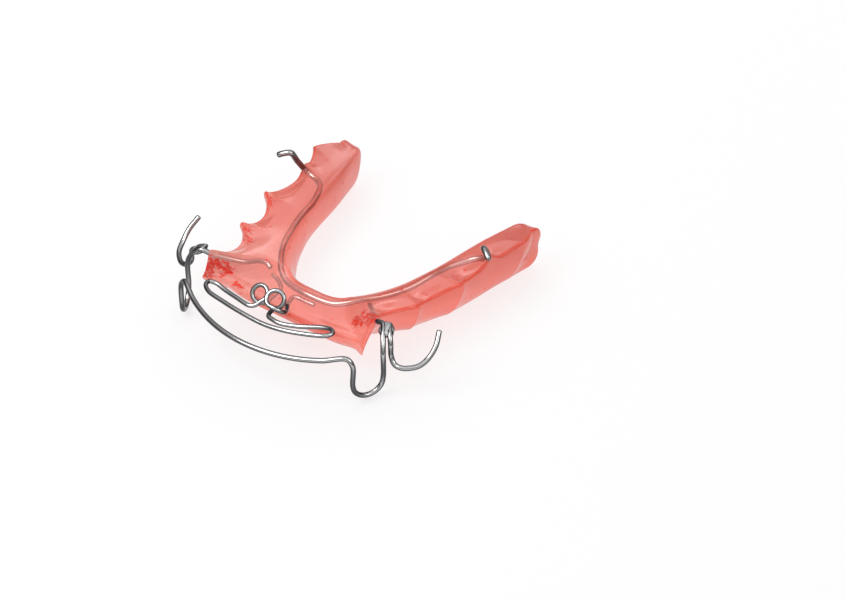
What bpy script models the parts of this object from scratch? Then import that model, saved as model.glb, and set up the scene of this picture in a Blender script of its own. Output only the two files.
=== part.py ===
# Lower active retainer: a lingual acrylic plate, a labial bow with two soldered
# clasps, a reinforcing wire whose ends are molar rests, and a coiled lingual spring.
#
# Lengths are in millimetres and are turned into metres when a mesh is made.
# The working frame has x across the arch, -y towards the front teeth and z = 0 at
# the biting plane. The empty "retainer" moves it all so that the origin lies under
# the middle of the appliance, with z = 0 at its lower border.
# "Left" and "right" are the sides of someone who looks at it from the front.

import bpy
import bmesh
from math import cos, exp, pi, radians, sin
from mathutils import Vector

MM = 0.001

# Arch: where the teeth touch each other on their tongue side
FRONT_DEPTH = 6.1
CANINE_CORNER_WIDTH = 13.0
CANINE_CORNER_DEPTH = 5.9
CANINE_FLARE = -0.05
CANINE_LENGTH = 2.3
CANINE_SKEW = 1.0
FIRST_PREMOLAR_FLARE = 1.65
FIRST_PREMOLAR_LENGTH = 7.4
SECOND_PREMOLAR_FLARE = 1.7
SECOND_PREMOLAR_LENGTH = 7.1
FIRST_MOLAR_FLARE = 1.0
FIRST_MOLAR_LENGTH = 11.5
HEEL_TUCK = 1.4
HEEL_LENGTH = 3.6

# Arch: how far each tooth bulges into the plate's upper edge
INCISOR_RELIEF = 1.1
CANINE_BULGE = 0.2
FIRST_PREMOLAR_BULGE = 1.7
SECOND_PREMOLAR_BULGE = 1.4
FIRST_MOLAR_BULGE = 1.2
SECOND_MOLAR_BULGE = -0.3

# Plate heights
FRONT_EDGE_HEIGHT = -3.3
CANINE_CORNER_HEIGHT = -3.0
CANINE_TIP_HEIGHT = 0.15
TIP_HEIGHT = -1.3
HEEL_HEIGHT = -2.3
VALLEY_DROP = 1.2
CREST_HEIGHT = -2.6
NECK_HEIGHT = -6.3
BORDER_HEIGHT = -9.0
SHELF_HOLLOW = 0.15

# Plate section
EDGE_WIDTH = 0.3
EDGE_WALL = 1.1
EDGE_SHARE = 0.14
BORDER_THICKNESS = 2.0
WALL_BULGE = 0.3
HEEL_ROUND = 2.3

# Plate: rests rise out of a small ridge on each first molar
REST_PLACE = 0.62
REST_SKEW = 0.045
REST_RISE = 1.1
REST_SPREAD = 0.1

# Wires
BOW_WIRE = 0.7
CLASP_WIRE = 0.7
SPRING_WIRE = 0.6
LINGUAL_WIRE = 0.8
WIRE_SIDES = 10
TURN_STEP = 14.0
LONGEST_STEP = 2.4

# Fits
FIT_GAP = 0.06
COVER = 0.3
SOLDER_WEB = 0.06
SOLDER_COVER = 0.2
SOLDER_LENGTH = 2.0
SOLDER_SIDES = 20

# Labial bow
BOW_FRONT = -1.9
BOW_RADIUS = 18.5
BOW_HEIGHT = -3.0
BOW_END_HEIGHT = -2.3
BOW_SIDE_STEP = 0.0
LOOP_WIDTH = 4.2
LOOP_DROP = 5.2

# Clasps round the first premolars
CLASP_REACH = 2.05
CLASP_LENGTH = 6.9
CLASP_DEPTH = -4.6

# Helical spring
COIL_RADIUS = 1.1
COIL_GAP = 0.42
COIL_LEAN = 44.5
COIL_TURN = 14.0
COIL_SPACING = 2.6
COIL_STAGGER = 1.15
COIL_SETBACK = 0.3
COIL_HEIGHT = 1.1
COIL_OFFSET = 3.8
SPRING_FRONT = 2.1
SPRING_HEIGHT = -2.5
SPRING_LEFT_REACH = 10.8
SPRING_RIGHT_REACH = 8.8
SPRING_LEFT_RADIUS = 44.0
SPRING_RIGHT_RADIUS = 14.5
SPRING_ARM_DROP = 0.5

# Lingual wire
WIRE_INSET = 1.1
REST_HEIGHT = 1.4
REST_LENGTH = 1.5
REST_EXIT = -4


def point(x, y, z):
    return Vector((x, y, z))


def blend(a, b, f):
    return a + (b - a) * f


def mirrored(p):
    return point(-p.x, p.y, p.z)


def spline(points, s):
    """Catmull-Rom curve through points; s = 0 is the first and s = 1 the second."""
    k = min(max(int(s), 0), len(points) - 2)
    f = s - k
    p1 = points[k]
    p2 = points[k + 1]
    p0 = points[k - 1] if k > 0 else p1 * 2 - p2
    p3 = points[k + 2] if k + 2 < len(points) else p2 * 2 - p1
    return 0.5 * (
        p1 * 2
        + (p2 - p0) * f
        + (p0 * 2 - p1 * 5 + p2 * 4 - p3) * f * f
        + (p1 * 3 - p0 - p2 * 3 + p3) * f * f * f
    )


# Half arch, station by station from the midline to the heel

CANINE_DEPTH = CANINE_CORNER_DEPTH + CANINE_LENGTH
PREMOLAR_DEPTH = CANINE_DEPTH + FIRST_PREMOLAR_LENGTH
MOLAR_DEPTH = PREMOLAR_DEPTH + SECOND_PREMOLAR_LENGTH
LAST_DEPTH = MOLAR_DEPTH + FIRST_MOLAR_LENGTH
HEEL_DEPTH = LAST_DEPTH + HEEL_LENGTH
CANINE_WIDTH = CANINE_CORNER_WIDTH + CANINE_FLARE
PREMOLAR_WIDTH = CANINE_WIDTH + FIRST_PREMOLAR_FLARE
MOLAR_WIDTH = PREMOLAR_WIDTH + SECOND_PREMOLAR_FLARE
LAST_WIDTH = MOLAR_WIDTH + FIRST_MOLAR_FLARE
HEEL_WIDTH = LAST_WIDTH - HEEL_TUCK

EDGE = [
    point(0.0, FRONT_DEPTH, FRONT_EDGE_HEIGHT),
    point(CANINE_CORNER_WIDTH, CANINE_CORNER_DEPTH, CANINE_CORNER_HEIGHT),
    point(CANINE_WIDTH, CANINE_DEPTH, CANINE_TIP_HEIGHT),
    point(PREMOLAR_WIDTH, PREMOLAR_DEPTH, TIP_HEIGHT),
    point(MOLAR_WIDTH, MOLAR_DEPTH, TIP_HEIGHT),
    point(LAST_WIDTH, LAST_DEPTH, TIP_HEIGHT),
    point(HEEL_WIDTH, HEEL_DEPTH, HEEL_HEIGHT),
]
SHELF_REACH = [6.1, 11.5, 9.8, 7.2, 6.9, 6.1, 3.5]
SHELF_TURN = [90.0, 38.4, 34.0, 25.0, 7.0, -6.0, -2.0]
BORDER_STEP = [2.2, 1.9, 1.5, 0.3, -0.8, -1.2, -0.9]
NECK_INSET = [3.1, 5.3, 4.5, 1.9, 1.5, 1.3, 0.8]
BULGE = [
    INCISOR_RELIEF,
    CANINE_BULGE,
    FIRST_PREMOLAR_BULGE,
    SECOND_PREMOLAR_BULGE,
    FIRST_MOLAR_BULGE,
    SECOND_MOLAR_BULGE,
]
STEPS = [6, 3, 6, 6, 8, 4]
LAST = len(EDGE) - 1


def inward(k):
    a = radians(SHELF_TURN[k])
    return point(-cos(a), sin(a), 0.0)


def lifted(p, height):
    return point(p.x, p.y, height)


CREST = [lifted(EDGE[k] + inward(k) * SHELF_REACH[k], CREST_HEIGHT) for k in range(LAST + 1)]
BORDER = [lifted(CREST[k] + inward(k) * BORDER_STEP[k], BORDER_HEIGHT) for k in range(LAST + 1)]
NECK = [lifted(EDGE[k] + inward(k) * NECK_INSET[k], NECK_HEIGHT) for k in range(LAST + 1)]


def whole(half):
    """The half arch and its mirror image, from the left heel to the right one."""
    return [mirrored(p) for p in reversed(half[1:])] + half


def rail(half, s):
    """A smooth rail of the plate at station s, from -LAST (left) to LAST (right)."""
    return spline(whole(half), s + LAST)


def scallop(k, f):
    """Share of a tooth's bulge at the fraction f of its span."""
    if k == 0:
        return sin(pi * f ** 4)
    return (4 * f * (1 - f)) ** 0.75


def edge_station(k, s):
    """A station of the upper edge; the canine contacts of the two sides differ."""
    skew = CANINE_SKEW if s > 0 else -CANINE_SKEW
    return EDGE[k] + point(0.0, skew if k == 2 else 0.0, 0.0)


def rest_place(side):
    """How far along a first molar its rest leaves the plate."""
    return REST_PLACE - side * REST_SKEW


def edge_point(s):
    """The plate's upper edge against the teeth, pointed between them."""
    t = abs(s)
    k = min(int(t), LAST - 1)
    f = t - k
    a = edge_station(k, s)
    b = edge_station(k + 1, s)
    p = blend(a, b, f)
    along = lifted(b - a, 0.0).normalized()
    share = scallop(k, f) if f > 0 else 0.0
    p += point(-along.y, along.x, 0.0) * BULGE[k] * share
    if 2 <= k < LAST - 1:
        p.z -= VALLEY_DROP * share
    if k == 4:
        place = rest_place(1 if s > 0 else -1)
        p.z += REST_RISE * exp(-(((f - place) / REST_SPREAD) ** 2))
    return p if s >= 0 else mirrored(p)


def section_dir(s):
    """Level direction from the teeth towards the tongue at station s."""
    d = rail(CREST, s) - edge_point(s)
    return lifted(d, 0.0).normalized()


def shelf_point(s, across, depth=0.0):
    """A point under the top face: across is 0 at the teeth and 1 at the crest."""
    d = section_dir(s)
    outer = edge_point(s) + d * EDGE_WIDTH
    inner = rail(CREST, s)
    middle = blend(outer, inner, 0.5)
    middle.z -= SHELF_HOLLOW
    if across < 0.5:
        p = blend(outer, middle, across * 2)
    else:
        p = blend(middle, inner, across * 2 - 1)
    p.z -= depth
    return p


def corner_cut(loop):
    """One round of corner cutting on a closed loop of points."""
    cut = []
    for i, p in enumerate(loop):
        q = loop[(i + 1) % len(loop)]
        cut.append(blend(p, q, 0.25))
        cut.append(blend(p, q, 0.75))
    return cut


def plate_section(s):
    """Closed outline of the plate across the arch at station s."""
    d = section_dir(s)
    edge = edge_point(s)
    chord = rail(EDGE, s)
    crest = rail(CREST, s)
    border = rail(BORDER, s)
    neck = rail(NECK, s)
    sway = lifted(edge - chord, 0.0) * 0.5 if abs(s) > 2 else point(0.0, 0.0, 0.0)
    wall = blend(crest, border, 0.5) + d * WALL_BULGE
    middle = blend(chord + d * EDGE_WIDTH, crest, 0.5)
    middle.z -= SHELF_HOLLOW
    loop = [
        shelf_point(s, 0.0),
        shelf_point(s, EDGE_SHARE),
        middle,
        crest,
        wall,
        border,
        border - d * BORDER_THICKNESS,
        neck + sway,
        edge - point(0.0, 0.0, EDGE_WALL),
    ]
    return corner_cut(corner_cut(loop))


def plate_stations():
    half = []
    for k, steps in enumerate(STEPS):
        half += [k + i / steps for i in range(steps)]
    half.append(float(LAST))
    return [-s for s in reversed(half[1:])] + half


def heel_sections(section, along):
    """Sections that round off the heel, each smaller and further back."""
    low = min(section, key=lambda p: p.z)
    middle = blend(sum(section, Vector()) / len(section), low, 0.2)
    rounded = []
    for angle in (20, 40, 58, 72, 83):
        a = radians(angle)
        ring = []
        for p in section:
            q = middle + point(p.x - middle.x, p.y - middle.y, 0.0) * cos(a) ** 0.6
            q.z = middle.z + (p.z - middle.z) * cos(a) ** 0.6
            ring.append(q + along * HEEL_ROUND * sin(a))
        rounded.append(ring)
    return rounded


# Meshes

root = None


def make_object(name, bm, material):
    bmesh.ops.recalc_face_normals(bm, faces=bm.faces[:])
    mesh = bpy.data.meshes.new(name)
    bm.to_mesh(mesh)
    bm.free()
    mesh.shade_smooth()
    mesh.set_sharp_from_angle(angle=radians(40))
    if material:
        mesh.materials.append(material)
    obj = bpy.data.objects.new(name, mesh)
    bpy.context.scene.collection.objects.link(obj)
    obj.parent = root
    return obj


def make_material(name, colour, roughness, metallic):
    material = bpy.data.materials.new(name)
    material.use_nodes = True
    shader = material.node_tree.nodes["Principled BSDF"]
    shader.inputs["Base Color"].default_value = (*colour, 1.0)
    shader.inputs["Roughness"].default_value = roughness
    shader.inputs["Metallic"].default_value = metallic
    return material


def skin(rings):
    """A closed mesh through rings of points, with a fan at each end."""
    bm = bmesh.new()
    loops = [[bm.verts.new(p * MM) for p in ring] for ring in rings]
    count = len(rings[0])
    for a, b in zip(loops, loops[1:]):
        for i in range(count):
            j = (i + 1) % count
            bm.faces.new((a[i], a[j], b[j], b[i]))
    for loop in (loops[0], loops[-1]):
        hub = bm.verts.new(sum((v.co for v in loop), Vector()) / count)
        for i in range(count):
            bm.faces.new((loop[i], loop[(i + 1) % count], hub))
    return bm


def thinned(path):
    """Drops points of a dense path where it runs nearly straight."""
    kept = [path[0]]
    turn = 0.0
    for i in range(1, len(path) - 1):
        a = path[i] - path[i - 1]
        b = path[i + 1] - path[i]
        turn += a.angle(b, 0.0) * 180 / pi
        if turn >= TURN_STEP or (path[i] - kept[-1]).length >= LONGEST_STEP:
            kept.append(path[i])
            turn = 0.0
    if (path[-1] - kept[-1]).length < 0.15 and len(kept) > 2:
        kept.pop()
    kept.append(path[-1])
    return kept


def smooth_path(points, fine=14):
    """A centripetal curve through points, with more steps where it bends."""
    spans = [max((b - a).length, 1e-6) ** 0.5 for a, b in zip(points, points[1:])]
    path = []
    for k in range(len(points) - 1):
        p1 = points[k]
        p2 = points[k + 1]
        p0 = points[k - 1] if k > 0 else p1 * 2 - p2
        p3 = points[k + 2] if k + 2 < len(points) else p2 * 2 - p1
        d0 = spans[k - 1] if k > 0 else spans[k]
        d1 = spans[k]
        d2 = spans[k + 1] if k + 1 < len(spans) else spans[k]
        m1 = (p1 - p0) / d0 - (p2 - p0) / (d0 + d1) + (p2 - p1) / d1
        m2 = (p2 - p1) / d1 - (p3 - p1) / (d1 + d2) + (p3 - p2) / d2
        m1 = m1 * d1
        m2 = m2 * d1
        for i in range(fine):
            f = i / fine
            path.append(
                p1 * (2 * f ** 3 - 3 * f ** 2 + 1)
                + m1 * (f ** 3 - 2 * f ** 2 + f)
                + p2 * (3 * f ** 2 - 2 * f ** 3)
                + m2 * (f ** 3 - f ** 2)
            )
    path.append(points[-1])
    return thinned(path)


def nearest(path, place):
    """Index of the path's point that is nearest to a place."""
    return min(range(len(path)), key=lambda i: (path[i] - place).length)


def stretch(path, centre, reach):
    """The run of a path round a place, a little over reach to either side of it."""
    middle = nearest(path, centre)
    first = middle
    while first > 0 and (path[first] - path[middle]).length < reach:
        first -= 1
    last = middle
    while last < len(path) - 1 and (path[last] - path[middle]).length < reach:
        last += 1
    return path[first : last + 1]


def tube(name, path, diameter, material, round_ends=True):
    """A wire of round section along a path."""
    radius = diameter / 2
    forward = (path[1] - path[0]).normalized()
    side = forward.orthogonal().normalized()
    rings = []
    count = len(path)
    for i, p in enumerate(path):
        ahead = path[min(i + 1, count - 1)] - p
        behind = p - path[max(i - 1, 0)]
        if i == 0:
            direction = ahead.normalized()
        elif i == count - 1:
            direction = behind.normalized()
        else:
            direction = (ahead.normalized() + behind.normalized()).normalized()
        side = (side - direction * side.dot(direction)).normalized()
        up = direction.cross(side)
        rings.append((p, direction, side.copy(), up))
    def ring(place, r):
        p, direction, side, up = place
        turn = [2 * pi * j / WIRE_SIDES for j in range(WIRE_SIDES)]
        return [p + (side * cos(t) + up * sin(t)) * r for t in turn]
    loops = []
    if round_ends:
        p, direction, side, up = rings[0]
        loops.append(ring((p, direction, side, up), radius * 0.7))
        loops.append(ring((p + direction * radius * 0.3, direction, side, up), radius))
    else:
        loops.append(ring(rings[0], radius))
    loops += [ring(place, radius) for place in rings[1:-1]]
    if round_ends:
        p, direction, side, up = rings[-1]
        loops.append(ring((p - direction * radius * 0.3, direction, side, up), radius))
        loops.append(ring((p, direction, side, up), radius * 0.7))
    else:
        loops.append(ring(rings[-1], radius))
    return make_object(name, skin(loops), material)


def channel(body, name, path, diameter):
    """Cuts the way of an embedded wire out of a body, one fit gap wider all round."""
    first = (path[0] - path[1]).normalized() * FIT_GAP * 2
    final = (path[-1] - path[-2]).normalized() * FIT_GAP * 2
    route = [path[0] + first] + path[1:-1] + [path[-1] + final]
    cutter = tube(name, route, diameter + 2 * FIT_GAP, None, round_ends=False)
    cutter.hide_render = True
    cutter.display_type = "WIRE"
    cut = body.modifiers.new(name, "BOOLEAN")
    cut.operation = "DIFFERENCE"
    cut.solver = "EXACT"
    cut.object = cutter
    return cutter


# Start from an empty scene

for old in list(bpy.data.objects):
    bpy.data.objects.remove(old, do_unlink=True)

root = bpy.data.objects.new("retainer", None)
bpy.context.scene.collection.objects.link(root)

acrylic = make_material("pink_acrylic", (0.86, 0.30, 0.28), 0.12, 0.0)
steel = make_material("bright_steel", (0.74, 0.75, 0.77), 0.16, 1.0)
solder = make_material("silver_solder", (0.70, 0.71, 0.72), 0.28, 1.0)

# Base plate

sections = [plate_section(s) for s in plate_stations()]
heel_along = lifted(rail(BORDER, LAST) - rail(BORDER, LAST - 0.3), 0.0).normalized()
right_heel = heel_sections(sections[-1], heel_along)
left_heel = heel_sections(sections[0], mirrored(heel_along))
base_plate = make_object("base_plate", skin(left_heel[::-1] + sections + right_heel), acrylic)


# Lingual wire: one wire through the whole plate, with a rest at each end

def lingual_half(side):
    """Points from the midline out to one rest; side is 1 or -1."""
    depth = COVER + LINGUAL_WIRE / 2
    run = []
    for s in (0.0, 0.7, 1.4, 2.1, 2.8, 3.4, 4.0, 4.3):
        reach = (rail(CREST, s) - edge_point(s)).length
        run.append(shelf_point(s, 1 - WIRE_INSET / reach, depth))
    rest = 4 + rest_place(side)
    run.append(shelf_point(rest - 0.1, 0.66, depth))
    run.append(shelf_point(rest, 0.42, depth))
    run.append(shelf_point(rest, 0.1, COVER * 0.4 + LINGUAL_WIRE / 2))
    wall = edge_point(rest)
    run.append(point(wall.x - 0.1, wall.y - 1.2, wall.z + 1.5))
    bend = point(wall.x + 0.2, wall.y - 2.2, REST_HEIGHT)
    run.append(bend)
    run.append(bend + point(0.75, -0.5, -0.1) * REST_LENGTH / 1.5)
    run.append(bend + point(1.5, -0.9, -0.5) * REST_LENGTH / 1.5)
    return run if side > 0 else [mirrored(p) for p in run]


right_half = lingual_half(1)
left_half = lingual_half(-1)
lingual_points = left_half[:0:-1] + right_half
lingual_path = smooth_path(lingual_points)
tube("lingual_wire", lingual_path, LINGUAL_WIRE, steel)
way_out = nearest(lingual_path, right_half[REST_EXIT])
inside = slice(len(lingual_path) - 1 - way_out, way_out + 1)
channel(base_plate, "lingual_wire_way", lingual_path[inside], LINGUAL_WIRE)


# Labial bow: tag, crossing, U-loop, front run, U-loop, crossing, tag

LOOP_ALONG = point(0.46, 0.89, 0.0).normalized()
BOW_HALF_SPAN = CANINE_CORNER_WIDTH + BOW_SIDE_STEP
BOW_DEPTH = COVER + BOW_WIRE / 2


def bow_run_point(x):
    rise = (abs(x) / BOW_HALF_SPAN) ** 4
    height = BOW_HEIGHT + (BOW_END_HEIGHT - BOW_HEIGHT) * rise
    return point(x, BOW_FRONT + x * x / (2 * BOW_RADIUS), height)


bow_top = bow_run_point(BOW_HALF_SPAN)
front_leg = bow_top + point(0.75, 0.2, -0.9)
back_leg = front_leg + LOOP_ALONG * LOOP_WIDTH


def bow_crossing(side):
    """Where the bow crosses the canine's contact, as if it were on the right side."""
    tip = edge_point(2.0 * side)
    over = point(abs(tip.x) + 0.8, tip.y - 0.1, tip.z - 0.5)
    out = blend(over, lifted(back_leg, over.z), 0.55)
    out.z -= 0.65
    return over, out


def bow_side(side):
    """Crossing and U-loop of one side, from the plate's tip to the front run."""
    over, out = bow_crossing(side)
    radius = LOOP_WIDTH / 2
    middle = blend(front_leg, back_leg, 0.5)
    low = front_leg.z - LOOP_DROP + radius
    loop = [over, out, lifted(back_leg, over.z - 2.3)]
    for angle in range(0, 181, 30):
        a = radians(angle)
        swing = LOOP_ALONG * radius * cos(a)
        loop.append(lifted(middle + swing, low - radius * sin(a)))
    return loop + [front_leg, bow_top]


left_tag = [
    shelf_point(-2.17, 0.73, 1.6),
    shelf_point(-2.28, 0.64, 1.25),
    shelf_point(-2.26, 0.53, 0.95),
    shelf_point(-2.07, 0.38, 0.9),
    shelf_point(-2.03, 0.22, BOW_DEPTH + 0.2),
    shelf_point(-2.03, 0.1, BOW_DEPTH + 0.15),
    shelf_point(-2.04, 0.0, BOW_DEPTH + 0.1),
]
right_tag = [
    shelf_point(2.0, 0.0, BOW_DEPTH + 0.2),
    shelf_point(2.08, 0.15, BOW_DEPTH + 0.2),
    shelf_point(2.24, 0.42, BOW_DEPTH + 0.15),
    shelf_point(2.31, 0.7, 1.0),
]
front_run = [bow_run_point(BOW_HALF_SPAN * i / 5) for i in range(-4, 5)]
bow_points = (
    left_tag
    + [mirrored(p) for p in bow_side(-1)]
    + front_run
    + bow_side(1)[::-1]
    + right_tag
)
bow_path = smooth_path(bow_points)
tube("labial_bow", bow_path, BOW_WIRE, steel)
over_left = nearest(bow_path, mirrored(bow_crossing(-1)[0]))
over_right = nearest(bow_path, bow_crossing(1)[0])
channel(base_plate, "bow_left_way", bow_path[: over_left + 1], BOW_WIRE)
channel(base_plate, "bow_right_way", bow_path[over_right:], BOW_WIRE)


# Clasps: each starts beside the bow in its solder joint and hugs a first premolar

WIRE_SPREAD = BOW_WIRE / 2 + CLASP_WIRE / 2 + 2 * FIT_GAP + SOLDER_WEB


def joint_frame(side):
    """Place and directions of a solder joint, as if it were on the right side."""
    over, out = bow_crossing(side)
    slope = (out - over).normalized()
    beside = point(-slope.y, slope.x, 0.0).normalized()
    return over, out, slope, beside


def joint_centre(side):
    """Middle of a solder joint, between the bow and the clasp."""
    over, out, slope, beside = joint_frame(side)
    return blend(over, out, 0.45) + beside * WIRE_SPREAD / 2


def clasp_points(side):
    """Centreline of a clasp, from its solder joint to its free end."""
    over, out, slope, beside = joint_frame(side)
    start = over + beside * WIRE_SPREAD - slope * 0.1
    along = out + beside * WIRE_SPREAD
    outward = point(LOOP_ALONG.y, -LOOP_ALONG.x, 0.0)
    away = WIRE_SPREAD + 0.3
    steps = [
        (-0.14, 0.0, 0.4),
        (-0.08, 0.0, 0.75),
        (0.25, 0.02, 0.95),
        (0.62, 0.1, 1.0),
        (0.88, 0.25, 1.0),
        (1.0, 0.42, 0.96),
        (0.88, 0.62, 0.83),
        (0.6, 0.8, 0.6),
        (0.05, 0.95, 0.3),
    ]
    around = []
    for reach, travel, drop in steps:
        sway = outward * CLASP_REACH * reach + LOOP_ALONG * (away + CLASP_LENGTH * travel)
        around.append(lifted(back_leg + sway, CLASP_DEPTH * drop))
    return [start, along] + around


# Solder joints: a lump round both wires

def solder_rings(side):
    """Sections of a solder joint, across the two wires it holds."""
    over, out, slope, beside = joint_frame(side)
    normal = slope.cross(beside).normalized()
    wide = WIRE_SPREAD / 2 + CLASP_WIRE / 2 + FIT_GAP + SOLDER_COVER
    thick = max(BOW_WIRE, CLASP_WIRE) / 2 + FIT_GAP + SOLDER_COVER
    centre = joint_centre(side)
    rings = []
    for place, share in ((-1.0, 0.8), (-0.8, 0.94), (-0.4, 1.0), (0.4, 1.0), (0.8, 0.94), (1.0, 0.8)):
        middle = centre + slope * SOLDER_LENGTH / 2 * place
        ring = []
        for j in range(SOLDER_SIDES):
            a = 2 * pi * j / SOLDER_SIDES
            ring.append(middle + (beside * wide * cos(a) + normal * thick * sin(a)) * share)
        rings.append(ring)
    return rings


for side, sign in (("right", 1), ("left", -1)):
    clasp_path = smooth_path(clasp_points(sign))
    joint = solder_rings(sign)
    centre = joint_centre(sign)
    if sign < 0:
        clasp_path = [mirrored(p) for p in clasp_path]
        joint = [[mirrored(p) for p in ring] for ring in joint]
        centre = mirrored(centre)
    tube("clasp_" + side, clasp_path, CLASP_WIRE, steel)
    lump = make_object("solder_joint_" + side, skin(joint), solder)
    bow_held = stretch(bow_path, centre, SOLDER_LENGTH)
    channel(lump, "solder_bow_way_" + side, bow_held, BOW_WIRE)
    clasp_held = stretch(clasp_path, centre, SOLDER_LENGTH)
    channel(lump, "solder_clasp_way_" + side, clasp_held, CLASP_WIRE)


# Active spring: one wire with two coils, and arms that lie behind the incisors

lean = radians(COIL_LEAN)
turned = radians(COIL_TURN)
coil_axis = point(sin(turned) * cos(lean), -cos(turned) * cos(lean), sin(lean))
coil_right = point(cos(turned), sin(turned), 0.0)
coil_up = coil_axis.cross(coil_right)
coil_half_pitch = (SPRING_WIRE + COIL_GAP) / 2
left_coil = point(-COIL_OFFSET, FRONT_DEPTH + COIL_SETBACK, FRONT_EDGE_HEIGHT + COIL_HEIGHT)
right_coil = left_coil + coil_right * COIL_SPACING + coil_axis * COIL_STAGGER - coil_up * 0.25


def coil(centre, start, end, shift, count=15):
    """One open turn; the wire moves along the coil's axis by its pitch."""
    turns = []
    for i in range(count + 1):
        f = i / count
        a = radians(start + (end - start) * f)
        swing = coil_right * cos(a) + coil_up * sin(a)
        turns.append(centre + swing * COIL_RADIUS + coil_axis * shift * (2 * f - 1))
    return turns


def spring_run_point(x):
    radius = SPRING_LEFT_RADIUS if x < 0 else SPRING_RIGHT_RADIUS
    lift = 0.6 * max(x, 0.0) / SPRING_RIGHT_REACH
    return point(x, SPRING_FRONT + x * x / (2 * radius), SPRING_HEIGHT + lift)


SPRING_DEPTH = COVER + SPRING_WIRE / 2
arm_height = SPRING_HEIGHT - SPRING_ARM_DROP
tag_left = [
    shelf_point(-1.85, 0.78, 1.8),
    shelf_point(-1.15, 0.83, 1.4),
    shelf_point(-0.74, 0.77, 1.3),
    shelf_point(-0.56, 0.69, 1.15),
    shelf_point(-0.41, 0.48, 0.9),
    shelf_point(-0.33, 0.27, 0.7),
    shelf_point(-0.27, 0.1, SPRING_DEPTH),
]
tag_right = [
    shelf_point(-0.08, 0.3, SPRING_DEPTH * 0.8),
    shelf_point(-0.11, 0.38, 0.8),
    shelf_point(-0.17, 0.53, 1.0),
    shelf_point(-0.22, 0.66, 1.2),
    shelf_point(-0.15, 0.72, 1.3),
    shelf_point(0.04, 0.72, 1.3),
    shelf_point(0.25, 0.73, 1.3),
]
left_coil_turns = coil(left_coil, 262.0, -55.0, coil_half_pitch)
right_coil_turns = coil(right_coil, -80.0, 268.0, coil_half_pitch)
left_tail = left_coil_turns[-1]
left_end = -SPRING_LEFT_REACH
right_end = SPRING_RIGHT_REACH
left_arm = [
    left_tail + point(-0.35, -0.7, -0.35),
    point(left_tail.x - 1.0, left_tail.y - 1.1, arm_height),
    point(left_end * 0.58, left_tail.y - 0.85, arm_height),
    point(left_end * 0.78, left_tail.y - 0.5, arm_height),
    point(left_end + 0.8, left_tail.y - 0.3, arm_height + 0.2),
    point(left_end, left_tail.y - 0.75, arm_height + 0.4),
    point(left_end + 0.15, left_tail.y - 1.6, SPRING_HEIGHT),
]
run = [spring_run_point(left_end * f) for f in (0.88, 0.64, 0.37)]
run += [spring_run_point(right_end * f) for f in (0.0, 0.3, 0.6, 0.95)]
corner = run[-1]
right_start = right_coil_turns[0]
right_arm = [
    corner + point(0.3, 0.85, 0.0),
    corner + point(-0.3, 1.35, -0.05),
    corner + point(-1.6, 1.3, -0.3),
    point(right_end * 0.4, corner.y + 0.2, arm_height + 0.1),
    point(right_end * 0.15, corner.y - 0.55, arm_height),
    point(right_start.x + 0.75, right_start.y - 1.7, arm_height),
    point(right_start.x + 0.05, right_start.y - 1.5, arm_height),
    point(right_start.x - 0.2, right_start.y - 0.8, arm_height + 0.1),
]
right_tail = right_coil_turns[-1]
lead_right = [
    right_tail + point(0.75, 0.15, -0.22),
    right_tail + point(1.25, 0.8, -0.78),
    right_tail + point(1.0, 1.7, -1.3),
]
spring_points = (
    tag_left
    + left_coil_turns
    + left_arm
    + run
    + right_arm
    + right_coil_turns
    + lead_right
    + tag_right
)
spring_path = smooth_path(spring_points)
tube("active_spring", spring_path, SPRING_WIRE, steel)
left_out = nearest(spring_path, left_coil_turns[1])
right_out = nearest(spring_path, lead_right[0])
channel(base_plate, "spring_left_way", spring_path[: left_out + 1], SPRING_WIRE)
channel(base_plate, "spring_right_way", spring_path[right_out:], SPRING_WIRE)

# Ground: the origin goes under the middle of the appliance

bpy.context.view_layer.update()
corners = [
    obj.matrix_world @ Vector(corner)
    for obj in bpy.context.scene.objects
    if obj.type == "MESH" and not obj.hide_render
    for corner in obj.bound_box
]
low = point(*(min(c[axis] for c in corners) for axis in range(3)))
high = point(*(max(c[axis] for c in corners) for axis in range(3)))
root.location = point(-(low.x + high.x) / 2, -(low.y + high.y) / 2, -low.z)
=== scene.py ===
# Looks of the lower active retainer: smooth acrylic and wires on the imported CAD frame,
# polished steel, translucent pink acrylic, soft studio light and the photograph's view.
#
# Lengths are in millimetres and become metres in a mesh. Only the floor, the soft boxes,
# the camera's near and far ends and the bump distance are given in metres, and the scales
# of textures per metre. The working frame has x across the arch, -y towards the front
# teeth and z = 0 at the biting plane, as in part.py; ROOT is the shift from it to the CAD
# frame.

from math import cos, exp, pi, radians, sin

import bmesh
import bpy
from mathutils import Matrix, Vector

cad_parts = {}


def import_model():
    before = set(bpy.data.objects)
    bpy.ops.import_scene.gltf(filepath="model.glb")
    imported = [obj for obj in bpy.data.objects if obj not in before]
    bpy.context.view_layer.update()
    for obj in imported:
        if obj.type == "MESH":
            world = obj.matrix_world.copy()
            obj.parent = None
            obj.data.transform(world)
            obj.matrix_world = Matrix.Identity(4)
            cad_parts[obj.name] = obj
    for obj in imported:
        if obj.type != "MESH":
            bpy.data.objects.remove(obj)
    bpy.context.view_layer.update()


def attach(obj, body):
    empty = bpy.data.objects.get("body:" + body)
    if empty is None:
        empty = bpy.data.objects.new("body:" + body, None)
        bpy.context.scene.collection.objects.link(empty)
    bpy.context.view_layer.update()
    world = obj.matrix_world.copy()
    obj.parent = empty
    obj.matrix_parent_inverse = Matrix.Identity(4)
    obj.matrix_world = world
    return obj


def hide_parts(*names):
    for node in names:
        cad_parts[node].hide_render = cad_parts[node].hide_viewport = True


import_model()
ROOT = Vector((-0.010, -18.885, 9.0))

MM = 0.001

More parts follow.
